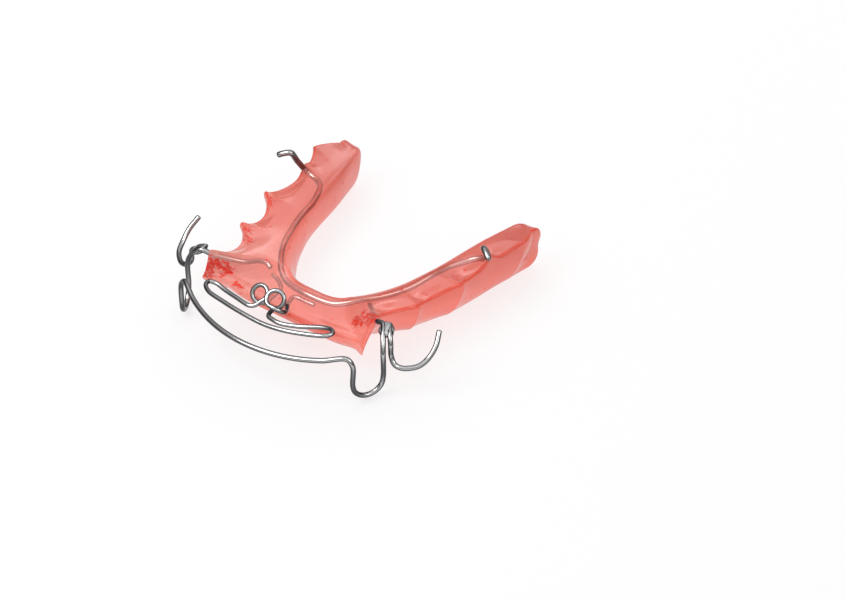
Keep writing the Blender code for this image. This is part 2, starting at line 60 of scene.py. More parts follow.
# Arch: where the teeth touch each other on their tongue side
FRONT_DEPTH = 6.1
CANINE_CORNER_WIDTH = 13.0
CANINE_CORNER_DEPTH = 5.9
CANINE_FLARE = -0.05
CANINE_LENGTH = 2.3
CANINE_SKEW = 1.0
FIRST_PREMOLAR_FLARE = 1.65
FIRST_PREMOLAR_LENGTH = 7.4
SECOND_PREMOLAR_FLARE = 1.7
SECOND_PREMOLAR_LENGTH = 7.1
FIRST_MOLAR_FLARE = 1.0
FIRST_MOLAR_LENGTH = 11.5
HEEL_TUCK = 1.4
HEEL_LENGTH = 3.6

# Arch: how far each tooth bulges into the plate's upper edge
INCISOR_RELIEF = 1.1
CANINE_BULGE = 0.2
FIRST_PREMOLAR_BULGE = 1.7
SECOND_PREMOLAR_BULGE = 1.4
FIRST_MOLAR_BULGE = 1.2
SECOND_MOLAR_BULGE = -0.3
SCALLOP_ROUNDNESS = 0.75
INCISOR_SKEW = 4

# Plate heights
FRONT_EDGE_HEIGHT = -3.3
CANINE_CORNER_HEIGHT = -3.0
CANINE_TIP_HEIGHT = 0.15
TIP_HEIGHT = -1.3
HEEL_HEIGHT = -2.3
VALLEY_DROP = 1.2
CREST_HEIGHT = -2.6
NECK_HEIGHT = -6.3
BORDER_HEIGHT = -9.0
SHELF_HOLLOW = 0.15

# Plate section
EDGE_WIDTH = 0.3
EDGE_WALL = 1.1
EDGE_SHARE = 0.14
BORDER_THICKNESS = 2.0
WALL_BULGE = 0.3
NECK_SWAY = 0.5

# Plate: each heel is rounded off by ever smaller sections, at angles of a quarter circle
# in degrees
HEEL_ROUND = 2.3
HEEL_ANGLES = (7, 14, 21, 28, 35, 42, 49, 56, 62, 68, 73, 78, 82, 85)
HEEL_SQUARENESS = 0.6
HEEL_LOWERING = 0.2
HEEL_RUN = 0.3

# Plate: rests rise out of a small ridge on each first molar
REST_PLACE = 0.62
REST_SKEW = 0.045
REST_RISE = 1.1
REST_SPREAD = 0.1

# Wires
BOW_WIRE = 0.7
CLASP_WIRE = 0.7
SPRING_WIRE = 0.6
LINGUAL_WIRE = 0.8
WIRE_SIDES = 24
CURVE_STEPS = 14
TURN_STEP = 4.0
LONGEST_STEP = 0.7
SHORTEST_STEP = 0.15
SMALLEST_SPAN = 1e-6

# Fits and solder joints
FIT_GAP = 0.06
COVER = 0.3
SOLDER_WEB = 0.06
SOLDER_COVER = 0.1
SOLDER_LENGTH = 2.0
SOLDER_PLACE = 0.45
SOLDER_SIDES = 36
SOLDER_RINGS = 20
SOLDER_TAPER = 0.45
SOLDER_END = 0.12
SOLDER_OVERRUN = 1.06
SOLDER_WAVE = 0.06
SOLDER_RIPPLE = 0.04

# Labial bow
BOW_FRONT = -1.9
BOW_RADIUS = 18.5
BOW_HEIGHT = -3.0
BOW_END_HEIGHT = -2.3
BOW_SIDE_STEP = 0.0
LOOP_WIDTH = 4.2
LOOP_DROP = 5.2
LOOP_SHIFT = (0.75, 0.2, -0.9)
LOOP_SHOULDER = 2.3
CROSSING_OUT = 0.8
CROSSING_FORWARD = 0.1
CROSSING_DROP = 0.5
CROSSING_SAG = 0.65
CROSSING_SHARE = 0.55

# Clasps round the first premolars; the hook's points are shares of reach, length and depth
CLASP_REACH = 2.05
CLASP_LENGTH = 6.9
CLASP_DEPTH = -4.6
CLASP_LEAD = 0.1
CLASP_GAP = 0.3
CLASP_HOOK = (
    (-0.14, 0.0, 0.4),
    (-0.08, 0.0, 0.75),
    (0.25, 0.02, 0.95),
    (0.62, 0.1, 1.0),
    (0.88, 0.25, 1.0),
    (1.0, 0.42, 0.96),
    (0.88, 0.62, 0.83),
    (0.6, 0.8, 0.6),
    (0.05, 0.95, 0.3),
)

# Helical spring
COIL_RADIUS = 1.1
COIL_GAP = 0.42
COIL_LEAN = 44.5
COIL_TURN = 14.0
COIL_SPACING = 2.6
COIL_STAGGER = 1.15
COIL_SINK = 0.25
COIL_SETBACK = 0.3
COIL_HEIGHT = 1.1
COIL_OFFSET = 3.8
COIL_STEPS = 60
LEFT_COIL_TURN = (262.0, -55.0)
RIGHT_COIL_TURN = (-80.0, 268.0)
SPRING_FRONT = 2.1
SPRING_HEIGHT = -2.5
SPRING_RIGHT_RISE = 0.6
SPRING_LEFT_REACH = 10.8
SPRING_RIGHT_REACH = 8.8
SPRING_LEFT_RADIUS = 44.0
SPRING_RIGHT_RADIUS = 14.5
SPRING_ARM_DROP = 0.5

# Lingual wire: its stations, the bend at the canine where it lies deeper, and its rests
WIRE_INSET = 1.1
WIRE_STATIONS = (0.0, 0.7, 1.4, 2.1, 2.8, 3.4, 4.0, 4.3)
BEND_STATION = 0.9
BEND_SPREAD = 0.5
BEND_SINK = 0.25
BEND_SHIFT = 0.1
REST_HEIGHT = 1.4
REST_STEPS = ((0.75, -0.5, -0.1), (1.5, -0.9, -0.5))
REST_EXIT = -4
# Painted light: the colours of the wire in resin run this many points of the path onto the exposed
# rest, lightening it
REST_PAINTED_LIGHT_FADE = 9

# Finish of the fine pieces
SHARP_ANGLE = 40.0
END_ANGLES = (90, 68, 45, 22, 0)
END_ROUND = 0.6


def point(x, y, z):
    return Vector((x, y, z))


def blend(a, b, f):
    """The value or place at the fraction f of the way from a to b."""
    return a + (b - a) * f


def mirrored(p):
    return point(-p.x, p.y, p.z)


def cubic(a, start, b, end, f):
    """A cubic from a to b that leaves with the slope start and arrives with the slope end."""
    return (
        a * (2 * f ** 3 - 3 * f ** 2 + 1)
        + start * (f ** 3 - 2 * f ** 2 + f)
        + b * (3 * f ** 2 - 2 * f ** 3)
        + end * (f ** 3 - f ** 2)
    )


def spline(points, s):
    """A curve through points, even where they lie unevenly; s = 0 is the first point."""
    k = min(max(int(s), 0), len(points) - 2)
    f = s - k
    p1 = points[k]
    p2 = points[k + 1]
    p0 = points[k - 1] if k > 0 else p1 * 2 - p2
    p3 = points[k + 2] if k + 2 < len(points) else p2 * 2 - p1
    before = (p1 - p0).length
    length = (p2 - p1).length
    after = (p3 - p2).length
    start = ((p1 - p0) * length / before + (p2 - p1) * before / length) / (before + length) * length
    end = ((p2 - p1) * after / length + (p3 - p2) * length / after) / (length + after) * length
    return cubic(p1, start, p2, end, f)


# Half arch, station by station from the midline to the heel

CANINE_DEPTH = CANINE_CORNER_DEPTH + CANINE_LENGTH
PREMOLAR_DEPTH = CANINE_DEPTH + FIRST_PREMOLAR_LENGTH
MOLAR_DEPTH = PREMOLAR_DEPTH + SECOND_PREMOLAR_LENGTH
LAST_DEPTH = MOLAR_DEPTH + FIRST_MOLAR_LENGTH
HEEL_DEPTH = LAST_DEPTH + HEEL_LENGTH
CANINE_WIDTH = CANINE_CORNER_WIDTH + CANINE_FLARE
PREMOLAR_WIDTH = CANINE_WIDTH + FIRST_PREMOLAR_FLARE
MOLAR_WIDTH = PREMOLAR_WIDTH + SECOND_PREMOLAR_FLARE
LAST_WIDTH = MOLAR_WIDTH + FIRST_MOLAR_FLARE
HEEL_WIDTH = LAST_WIDTH - HEEL_TUCK

EDGE = [
    point(0.0, FRONT_DEPTH, FRONT_EDGE_HEIGHT),
    point(CANINE_CORNER_WIDTH, CANINE_CORNER_DEPTH, CANINE_CORNER_HEIGHT),
    point(CANINE_WIDTH, CANINE_DEPTH, CANINE_TIP_HEIGHT),
    point(PREMOLAR_WIDTH, PREMOLAR_DEPTH, TIP_HEIGHT),
    point(MOLAR_WIDTH, MOLAR_DEPTH, TIP_HEIGHT),
    point(LAST_WIDTH, LAST_DEPTH, TIP_HEIGHT),
    point(HEEL_WIDTH, HEEL_DEPTH, HEEL_HEIGHT),
]
SHELF_REACH = [6.1, 11.5, 9.8, 7.2, 6.9, 6.1, 3.5]
SHELF_TURN = [90.0, 38.4, 34.0, 25.0, 7.0, -6.0, -2.0]
BORDER_STEP = [2.2, 1.9, 1.5, 0.3, -0.8, -1.2, -0.9]
NECK_INSET = [3.1, 5.3, 4.5, 1.9, 1.5, 1.3, 0.8]
BULGE = [
    INCISOR_RELIEF,
    CANINE_BULGE,
    FIRST_PREMOLAR_BULGE,
    SECOND_PREMOLAR_BULGE,
    FIRST_MOLAR_BULGE,
    SECOND_MOLAR_BULGE,
]
STEPS = [36, 20, 40, 40, 52, 24]
CANINE_TIP = 2
FIRST_MOLAR = 4
LAST = len(EDGE) - 1


def inward(k):
    a = radians(SHELF_TURN[k])
    return point(-cos(a), sin(a), 0.0)


def lifted(p, height):
    return point(p.x, p.y, height)


CREST = [lifted(EDGE[k] + inward(k) * SHELF_REACH[k], CREST_HEIGHT) for k in range(LAST + 1)]
BORDER = [lifted(CREST[k] + inward(k) * BORDER_STEP[k], BORDER_HEIGHT) for k in range(LAST + 1)]
NECK = [lifted(EDGE[k] + inward(k) * NECK_INSET[k], NECK_HEIGHT) for k in range(LAST + 1)]


def whole(half):
    """The half arch and its mirror image, from the left heel to the right one."""
    return [mirrored(p) for p in reversed(half[1:])] + half


def rail(half, s):
    """A smooth rail of the plate at station s, from -LAST (left) to LAST (right)."""
    return spline(whole(half), s + LAST)


def scallop(k, f):
    """Share of a tooth's bulge at the fraction f of its span."""
    if k == 0:
        return sin(pi * f ** INCISOR_SKEW)
    return (4 * f * (1 - f)) ** SCALLOP_ROUNDNESS


def edge_station(k, s):
    """A station of the upper edge; the canine contacts of the two sides differ."""
    skew = CANINE_SKEW if s > 0 else -CANINE_SKEW
    return EDGE[k] + point(0.0, skew if k == CANINE_TIP else 0.0, 0.0)


def rest_place(side):
    """How far along a first molar its rest leaves the plate."""
    return REST_PLACE - side * REST_SKEW


def edge_point(s):
    """The plate's upper edge against the teeth, pointed between them."""
    t = abs(s)
    k = min(int(t), LAST - 1)
    f = t - k
    a = edge_station(k, s)
    b = edge_station(k + 1, s)
    p = blend(a, b, f)
    along = lifted(b - a, 0.0).normalized()
    share = scallop(k, f) if f > 0 else 0.0
    p += point(-along.y, along.x, 0.0) * BULGE[k] * share
    if CANINE_TIP <= k < LAST - 1:
        p.z -= VALLEY_DROP * share
    if k == FIRST_MOLAR:
        place = rest_place(1 if s > 0 else -1)
        p.z += REST_RISE * exp(-(((f - place) / REST_SPREAD) ** 2))
    return p if s >= 0 else mirrored(p)


def section_dir(s):
    """Level direction from the teeth towards the tongue at station s."""
    d = rail(CREST, s) - edge_point(s)
    return lifted(d, 0.0).normalized()


def shelf_point(s, across, depth=0.0):
    """A point under the top face: across is 0 at the teeth and 1 at the crest."""
    d = section_dir(s)
    outer = edge_point(s) + d * EDGE_WIDTH
    inner = rail(CREST, s)
    middle = blend(outer, inner, 0.5)
    middle.z -= SHELF_HOLLOW
    if across < 0.5:
        p = blend(outer, middle, across * 2)
    else:
        p = blend(middle, inner, across * 2 - 1)
    p.z -= depth
    return p


def corner_cut(loop):
    """One round of corner cutting on a closed loop of points."""
    cut = []
    for i, p in enumerate(loop):
        q = loop[(i + 1) % len(loop)]
        cut.append(blend(p, q, 0.25))
        cut.append(blend(p, q, 0.75))
    return cut


def plate_section(s):
    """Closed outline of the plate across the arch at station s."""
    d = section_dir(s)
    edge = edge_point(s)
    chord = rail(EDGE, s)
    crest = rail(CREST, s)
    border = rail(BORDER, s)
    neck = rail(NECK, s)
    sway = point(0.0, 0.0, 0.0)
    if abs(s) > CANINE_TIP:
        sway = lifted(edge - chord, 0.0) * NECK_SWAY
    wall = blend(crest, border, 0.5) + d * WALL_BULGE
    middle = blend(chord + d * EDGE_WIDTH, crest, 0.5)
    middle.z -= SHELF_HOLLOW
    loop = [
        shelf_point(s, 0.0),
        shelf_point(s, EDGE_SHARE),
        middle,
        crest,
        wall,
        border,
        border - d * BORDER_THICKNESS,
        neck + sway,
        edge - point(0.0, 0.0, EDGE_WALL),
    ]
    return corner_cut(corner_cut(corner_cut(loop)))


def plate_stations():
    """Stations of the plate's sections, from the left heel to the right one."""
    half = []
    for k, steps in enumerate(STEPS):
        half += [k + i / steps for i in range(steps)]
    half.append(float(LAST))
    return [-s for s in reversed(half[1:])] + half


def heel_sections(section, along):
    """Sections that round off the heel, each smaller and further back."""
    low = min(section, key=lambda p: p.z)
    middle = blend(sum(section, Vector()) / len(section), low, HEEL_LOWERING)
    rounded = []
    for angle in HEEL_ANGLES:
        a = radians(angle)
        share = cos(a) ** HEEL_SQUARENESS
        shift = along * HEEL_ROUND * sin(a)
        rounded.append([middle + (p - middle) * share + shift for p in section])
    return rounded


# Meshes

def skin(rings):
    """A closed mesh through rings of points, with a fan at each end."""
    bm = bmesh.new()
    loops = [[bm.verts.new(p * MM) for p in ring] for ring in rings]
    count = len(rings[0])
    for a, b in zip(loops, loops[1:]):
        for i in range(count):
            j = (i + 1) % count
            bm.faces.new((a[i], a[j], b[j], b[i]))
    for loop in (loops[0], loops[-1]):
        hub = bm.verts.new(sum((v.co for v in loop), Vector()) / count)
        for i in range(count):
            bm.faces.new((loop[i], loop[(i + 1) % count], hub))
    return bm


def thinned(path):
    """Drops points of a dense path where it runs nearly straight."""
    kept = [path[0]]
    turn = 0.0
    for i in range(1, len(path) - 1):
        a = path[i] - path[i - 1]
        b = path[i + 1] - path[i]
        turn += a.angle(b, 0.0) * 180 / pi
        if turn >= TURN_STEP or (path[i] - kept[-1]).length >= LONGEST_STEP:
            kept.append(path[i])
            turn = 0.0
    if (path[-1] - kept[-1]).length < SHORTEST_STEP and len(kept) > 2:
        kept.pop()
    kept.append(path[-1])
    return kept


def smooth_path(points):
    """A centripetal curve through points, with more steps where it bends."""
    spans = [max((b - a).length, SMALLEST_SPAN) ** 0.5 for a, b in zip(points, points[1:])]
    path = []
    for k in range(len(points) - 1):
        p1 = points[k]
        p2 = points[k + 1]
        p0 = points[k - 1] if k > 0 else p1 * 2 - p2
        p3 = points[k + 2] if k + 2 < len(points) else p2 * 2 - p1
        d0 = spans[k - 1] if k > 0 else spans[k]
        d1 = spans[k]
        d2 = spans[k + 1] if k + 1 < len(spans) else spans[k]
        m1 = (p1 - p0) / d0 - (p2 - p0) / (d0 + d1) + (p2 - p1) / d1
        m2 = (p2 - p1) / d1 - (p3 - p1) / (d1 + d2) + (p3 - p2) / d2
        for i in range(CURVE_STEPS):
            path.append(cubic(p1, m1 * d1, p2, m2 * d1, i / CURVE_STEPS))
    path.append(points[-1])
    return thinned(path)


def nearest(path, place):
    """Index of the path's point that is nearest to a place."""
    return min(range(len(path)), key=lambda i: (path[i] - place).length)


def stretch(path, centre, reach):
    """The run of a path round a place, a little over reach to either side of it."""
    middle = nearest(path, centre)
    first = middle
    while first > 0 and (path[first] - path[middle]).length < reach:
        first -= 1
    last = middle
    while last < len(path) - 1 and (path[last] - path[middle]).length < reach:
        last += 1
    return path[first : last + 1]


def wire_places(path):
    """Each place of a path with the wire's direction, side and up there, without twist."""
    side = (path[1] - path[0]).normalized().orthogonal().normalized()
    places = []
    last = len(path) - 1
    for i, p in enumerate(path):
        ahead = path[min(i + 1, last)] - p
        behind = p - path[max(i - 1, 0)]
        if i == 0:
            direction = ahead.normalized()
        elif i == last:
            direction = behind.normalized()
        else:
            direction = (ahead.normalized() + behind.normalized()).normalized()
        side = (side - direction * side.dot(direction)).normalized()
        places.append((p, direction, side, direction.cross(side)))
    return places


def wire_ring(place, radius, shift=0.0):
    """A ring of points round a wire's place, moved by shift along the wire."""
    p, direction, side, up = place
    turns = [2 * pi * j / WIRE_SIDES for j in range(WIRE_SIDES)]
    return [p + direction * shift + (side * cos(t) + up * sin(t)) * radius for t in turns]


def tube(path, diameter, round_ends=True):
    """A closed mesh of a wire of round section along a path."""
    radius = diameter / 2
    places = wire_places(path)
    if not round_ends:
        return skin([wire_ring(place, radius) for place in places])
    head, tail = [], []
    for angle in END_ANGLES:
        a = radians(angle)
        inset = radius * END_ROUND * (1 - sin(a))
        end_radius = radius * (1 - END_ROUND * (1 - cos(a)))
        head.append(wire_ring(places[0], end_radius, inset))
        tail.append(wire_ring(places[-1], end_radius, -inset))
    loops = [wire_ring(place, radius) for place in places[1:-1]]
    return skin(head + loops + tail[::-1])


def new_object(name, bm):
    """A smooth-shaded object in the frame's place, from a mesh in the working frame."""
    bmesh.ops.recalc_face_normals(bm, faces=bm.faces[:])
    bmesh.ops.translate(bm, verts=bm.verts[:], vec=ROOT * MM)
    mesh = bpy.data.meshes.new(name)
    bm.to_mesh(mesh)
    bm.free()
    mesh.shade_smooth()
    mesh.set_sharp_from_angle(angle=radians(SHARP_ANGLE))
    obj = bpy.data.objects.new(name, mesh)
    bpy.context.scene.collection.objects.link(obj)
    return obj


def dress(node, bm, material):
    """A finer piece in place of a CAD node, which takes the record's material slot."""
    piece = new_object(node + "_fine", bm)
    piece.data.materials.append(material)
    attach(piece, "root")
    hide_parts(node)
    return piece


def channel(body, path, diameter, lining):
    """Cuts the way of an embedded wire out of a body; its wall gets the lining."""
    before = (path[0] - path[1]).normalized() * FIT_GAP * 2
    beyond = (path[-1] - path[-2]).normalized() * FIT_GAP * 2
    route = [path[0] + before] + path[1:-1] + [path[-1] + beyond]
    cutter = new_object("cutter", tube(route, diameter + 2 * FIT_GAP, round_ends=False))
    cutter.data.materials.append(lining)
    cut = body.modifiers.new("channel", "BOOLEAN")
    cut.operation = "DIFFERENCE"
    cut.solver = "EXACT"
    cut.material_mode = "TRANSFER"
    cut.object = cutter
    return cutter


def mark_held(wire, runs, fade=1):
    """Marks the runs of a wire, as first and last index of its path, that lie in resin, where its
    colours are a painted highlight and painted shade.

    The mark fades out over as many points of the path as fade says, and so paints light on the
    exposed wire just beyond the resin."""
    layer = wire.data.attributes.new("held_and_painted_light", "FLOAT", "POINT")
    for index, item in enumerate(layer.data):
        place = index // WIRE_SIDES - len(END_ANGLES) + 1
        away = min(max(first - place, place - last, 0) for first, last in runs)
        item.value = max(0.0, 1 - away / fade)


def settle(body, cutters):
    """Applies a body's cuts and removes what cut it."""
    bpy.context.view_layer.update()
    graph = bpy.context.evaluated_depsgraph_get()
    cut_mesh = bpy.data.meshes.new_from_object(body.evaluated_get(graph))
    body.modifiers.clear()
    body.data = cut_mesh
    for cutter in cutters:
        bpy.data.objects.remove(cutter, do_unlink=True)


# Marks in the resin

# Stains: a name, a place on the plate's shelf, a radius and a strength
STAINS = [
    ("left canine band", shelf_point(-1.42, 0.0), 2.1, 1.0),
    ("left canine top", shelf_point(-1.7, 0.02), 1.3, 0.7),
    ("left canine corner", shelf_point(-1.0, 0.06), 1.6, 0.84),
    ("left canine blush", shelf_point(-1.15, 0.18), 2.6, 0.26),
    ("left premolar contact", shelf_point(-2.88, 0.03), 1.4, 0.76),
    ("left second premolar", shelf_point(-3.85, 0.04), 1.3, 0.55),
    ("right canine blush", shelf_point(1.65, 0.25), 3.0, 0.36),
    ("right molar", shelf_point(4.06, 0.35), 1.7, 0.5),
]
# Streaks: a name, places along it as station and across, a radius and a strength
STREAKS = [
    ("left canine streak", ((-1.5, 0.1), (-1.4, 0.15), (-1.32, 0.23), (-1.15, 0.29)), 1.1, 0.9),
    ("left canine arc", ((-0.85, 0.04), (-0.95, 0.15)), 1.15, 0.62),
    ("left front edge", ((-0.66, 0.01), (-0.61, 0.02), (-0.56, 0.01)), 1.05, 0.7),
    ("left premolar slope", ((-2.78, 0.03), (-2.7, 0.1), (-2.62, 0.17)), 1.1, 0.7),
    ("right canine streak", ((1.3, 0.4), (1.52, 0.3), (1.76, 0.2), (1.92, 0.1)), 1.55, 0.92),
    ("right canine fleck", ((1.84, 0.35),), 0.95, 0.7),
    ("right canine edge", ((1.6, 0.12),), 1.2, 0.64),
]
STAINS += [
    (name, shelf_point(*place), radius, strength)
    for name, places, radius, strength in STREAKS
    for place in places
]
# Painted light patches on the canine shelves, and dents, are given like stains
PAINTED_LIGHT_PATCHES = [
    ("left canine shelf", shelf_point(-1.3, 0.25), 11.0, 1.0),
    ("right canine shelf", shelf_point(1.0, 0.3), 5.0, 0.5),
]
DENTS = [
    ("left heel", shelf_point(-5.85, 0.22), 1.5, 0.5),
]
# Deep edges: the middle and the reach of each as shares of a section's outline, and a strength
EDGE_MARKS = ((0.965, 0.065, 1.0), (0.55, 0.1, 0.8))
# The heel's rim: its ring, counted from the first heel section outwards, how many rings it
# fades over, and the share of the outline that it takes up
HEEL_RIM = 7
HEEL_RIM_REACH = 3
HEEL_RIM_SHARE = 0.42


def nearness_share(away, reach):
    """1 at a place and 0 at a reach away from it or further."""
    return max(0.0, 1 - away / reach)


def mark_edges(bm, count):
    """Marks the deep edges of a lofted plate, for its colour; count is a section's points."""
    layer = bm.verts.layers.float.new("edge")
    bm.verts.ensure_lookup_table()
    rings = len(bm.verts) // count
    for index, vert in enumerate(bm.verts):
        place = index % count
        ring = index // count
        outward = len(HEEL_ANGLES) - min(ring, rings - 1 - ring)
        marks = [0.0]
        if place < HEEL_RIM_SHARE * count:
            marks.append(nearness_share(abs(outward - HEEL_RIM), HEEL_RIM_REACH))
        for middle, reach, strength in EDGE_MARKS:
            away = abs(place - middle * count)
            away = min(away, count - away)
            marks.append(strength * nearness_share(away, reach * count))
        vert[layer] = max(marks)


# Node helpers

def add(tree, kind, inputs=None, **settings):
    """A shader node with its settings; an input is a value or another node's socket."""
    node = tree.nodes.new(kind)
    for name, value in settings.items():
        setattr(node, name, value)
    for name, value in (inputs or {}).items():
        socket = node.inputs[name]
        if isinstance(value, bpy.types.NodeSocket):
            tree.links.new(value, socket)
        else:
            socket.default_value = value
    return node


def reckon(tree, operation, a, b=0.0, clamp=False):
    """The result of one sum on two values or sockets."""
    node = add(tree, "ShaderNodeMath", {0: a, 1: b}, operation=operation, use_clamp=clamp)
    return node.outputs[0]


def mix_colour(tree, factor, a, b):
    node = add(tree, "ShaderNodeMix", {0: factor, 6: a, 7: b}, data_type="RGBA")
    return node.outputs[2]


def step_up(tree, value, low, high, result_low=0.0, result_high=1.0):
    """A smooth step of a value between two limits."""
    inputs = {"Value": value, 1: low, 2: high, 3: result_low, 4: result_high}
    node = add(tree, "ShaderNodeMapRange", inputs, interpolation_type="SMOOTHSTEP")
    return node.outputs["Result"]


def noise_at(tree, place, scale, detail, roughness=0.5, distortion=0.0):
    inputs = {
        "Vector": place,
        "Scale": scale,
        "Detail": detail,
        "Roughness": roughness,
        "Distortion": distortion,
    }
    return add(tree, "ShaderNodeTexNoise", inputs).outputs["Fac"]


def blank_material(name):
    material = bpy.data.materials.new(name)
    material.use_nodes = True
    material.node_tree.nodes.clear()
    return material, material.node_tree


def rgba(red, green, blue):
    return (red, green, blue, 1.0)


# Acrylic: clear pink resin with a cloudy body, stains, specks and deeper edges, and painted light
# and shade

RESIN = rgba(0.73, 0.15, 0.11)
# Pale colour of the random clouds and of the painted light towards the front
RESIN_PALE_AND_PAINTED_LIGHT = rgba(0.95, 0.33, 0.29)
RESIN_PAINTED_SHADE = rgba(0.60, 0.115, 0.09)
# Colour of the painted light on the canine shelves
RESIN_PAINTED_LIGHT = rgba(1.0, 0.56, 0.50)
RESIN_DEEP = rgba(0.80, 0.09, 0.05)
# Pale painted colour of the inner faces, standing in for a lit cast behind the resin
PAINTED_CAST_BACKING = rgba(0.93, 0.46, 0.39)
BACKING_PAINTED_SHADE = rgba(0.82, 0.40, 0.34)
STAIN = rgba(0.90, 0.05, 0.025)
TINT = rgba(1.0, 0.72, 0.68)
TINT_DEEP = rgba(0.98, 0.34, 0.22)
TINT_MIRRORED = rgba(1.0, 0.93, 0.91)
SHADE_TINT = rgba(1.0, 0.86, 0.84)
CLOUDINESS = 0.33
BACK_CLOUDINESS = 0.9
SHADE_CLOUDINESS = 0.12
STAIN_CLOUDINESS = 0.88
MIRRORED_CLOUDINESS = 0.06
MOTTLE_TURN = 0.65
MOTTLE_STRETCH = (0.55, 1.5, 1.0)
RIPPLE = 0.12
PIT_DEPTH = 0.9
RESIN_INDEX = 1.49
GLOSS = 0.15
GLOW = 0.3
EDGE_BLEND = 0.35
EDGE_LIMITS = (0.35, 0.95)
EDGE_CLOUDINESS = 0.3
# Painted light: the resin grows paler towards the front, where more light falls
FRONT_PAINTED_LIGHT_FROM = -12.0
FRONT_PAINTED_LIGHT_TO = 3.0
FRONT_PAINTED_LIGHT = 0.75
# Painted shade: the resin and its inner faces darken towards the rear, where less light falls
REAR_SHADE_FROM = 9.0
REAR_SHADE_TO = 19.0
CLOUD_SCALE = 140.0
CLOUD_LIMITS = (0.35, 0.7)
CLOUD_PALENESS = (-0.15, 0.25)
MOTTLE_SCALE = 1700.0
MOTTLE_DETAIL = 5.0
MOTTLE_ROUGHNESS = 0.7
MOTTLE_DISTORTION = 0.8
MOTTLE_LIMITS = (0.33, 0.67)
STAIN_LIMITS = (1.0, 1.3)
SPOT_CORE = 0.2
SPECK_DENSITY = 1000.0
SPECK_CHOICE = (0.56, 0.6)
SPECK_SHRINK = (0.7, 2.4)
SPECK_EDGE = (0.08, 0.2)
SPECK_STRENGTH = 0.9
RIPPLE_SCALE = 420.0
BUMP_DISTANCE = 0.0001
BROAD_DETAIL = 2.0


def nearness(tree, place, spots):
    """Greatest share of some spots at a place: each has its strength inside and 0 outside."""
    total = None
    for _, centre, radius, strength in spots:
        ends = {0: place, 1: (centre + ROOT) * MM}
        away = add(tree, "ShaderNodeVectorMath", ends, operation="DISTANCE").outputs["Value"]
        share = step_up(tree, away, radius * MM * SPOT_CORE, radius * MM, strength, 0.0)
        total = share if total is None else reckon(tree, "MAXIMUM", total, share)
    return total


def specks(tree, place):
    """Share of speck at a place: a scatter of tiny red fibres."""
    cells = add(tree, "ShaderNodeTexVoronoi", {"Vector": place, "Scale": SPECK_DENSITY})
    cell = add(tree, "ShaderNodeSeparateColor", {"Color": cells.outputs["Color"]})
    kept = step_up(tree, cell.outputs[0], *SPECK_CHOICE)
    shrink = step_up(tree, cell.outputs[1], 0.0, 1.0, *SPECK_SHRINK)
    away = reckon(tree, "MULTIPLY", cells.outputs["Distance"], shrink)
    dot = step_up(tree, away, *SPECK_EDGE, SPECK_STRENGTH, 0.0)
    return reckon(tree, "MULTIPLY", kept, dot)


def mottling(tree, place):
    """A coarse grain with clear light and dark, drawn out along the stains."""
    inputs = {"Vector": place, "Rotation": (0.0, 0.0, MOTTLE_TURN), "Scale": MOTTLE_STRETCH}
    grain = add(tree, "ShaderNodeMapping", inputs).outputs["Vector"]
    mottle = noise_at(
        tree, grain, MOTTLE_SCALE, MOTTLE_DETAIL, MOTTLE_ROUGHNESS, MOTTLE_DISTORTION
    )
    return step_up(tree, mottle, *MOTTLE_LIMITS)


def deep_edge(tree):
    """Share of deeper colour, where the resin turns away or its edge is marked."""
    facing = add(tree, "ShaderNodeLayerWeight", {"Blend": EDGE_BLEND}).outputs["Facing"]
    turned = step_up(tree, facing, *EDGE_LIMITS)
    edge = add(tree, "ShaderNodeAttribute", attribute_name="edge").outputs["Fac"]
    return reckon(tree, "MAXIMUM", turned, edge)


def stain_marks(tree, place, mottle):
    """Share of stain or speck at a place."""
    near = nearness(tree, place, STAINS)
    stain = step_up(tree, reckon(tree, "ADD", near, mottle), *STAIN_LIMITS)
    return reckon(tree, "MAXIMUM", stain, specks(tree, place))


def resin_colour(tree, place, rim, marks, behind):
    """Colour of the cloudy part: painted light makes it paler in front and on the canine shelves,
    painted shade deeper at the rear; it is deeper at the edges, and inner faces are painted pale as
    if a lit cast lay behind.
    """
    depth = add(tree, "ShaderNodeSeparateXYZ", {"Vector": place}).outputs["Y"]
    # Painted light: paler towards the front
    front = step_up(
        tree, depth, FRONT_PAINTED_LIGHT_FROM * MM, FRONT_PAINTED_LIGHT_TO * MM, FRONT_PAINTED_LIGHT, 0.0
    )
    cloud = noise_at(tree, place, CLOUD_SCALE, BROAD_DETAIL)
    clouded = step_up(tree, cloud, *CLOUD_LIMITS, *CLOUD_PALENESS)
    # Share of pale colour: painted light in front, plus random clouds
    pale = reckon(tree, "ADD", front, clouded, clamp=True)
    # Painted shade: darker towards the rear
    rear = step_up(tree, depth, REAR_SHADE_FROM * MM, REAR_SHADE_TO * MM)
    body = mix_colour(tree, pale, mix_colour(tree, rear, RESIN, RESIN_PAINTED_SHADE), RESIN_PALE_AND_PAINTED_LIGHT)
    body = mix_colour(tree, rim, body, RESIN_DEEP)
    # Painted light: pale patches on the canine shelves
    body = mix_colour(tree, nearness(tree, place, PAINTED_LIGHT_PATCHES), body, RESIN_PAINTED_LIGHT)
    body = mix_colour(tree, marks, body, STAIN)
    # Painted light: the inner faces are painted pale, as if a lit cast lay behind the resin
    painted_cast_backing = mix_colour(tree, rear, PAINTED_CAST_BACKING, BACKING_PAINTED_SHADE)
    return mix_colour(tree, behind, body, painted_cast_backing)


def resin_tint(tree, rim, marks, from_inside, shade):
    """Colour that the clear part gives to what is seen through it."""
    tint = mix_colour(tree, rim, TINT, TINT_DEEP)
    tint = mix_colour(tree, marks, tint, STAIN)
    tint = mix_colour(tree, from_inside, tint, TINT_MIRRORED)
    return mix_colour(tree, shade, tint, SHADE_TINT)


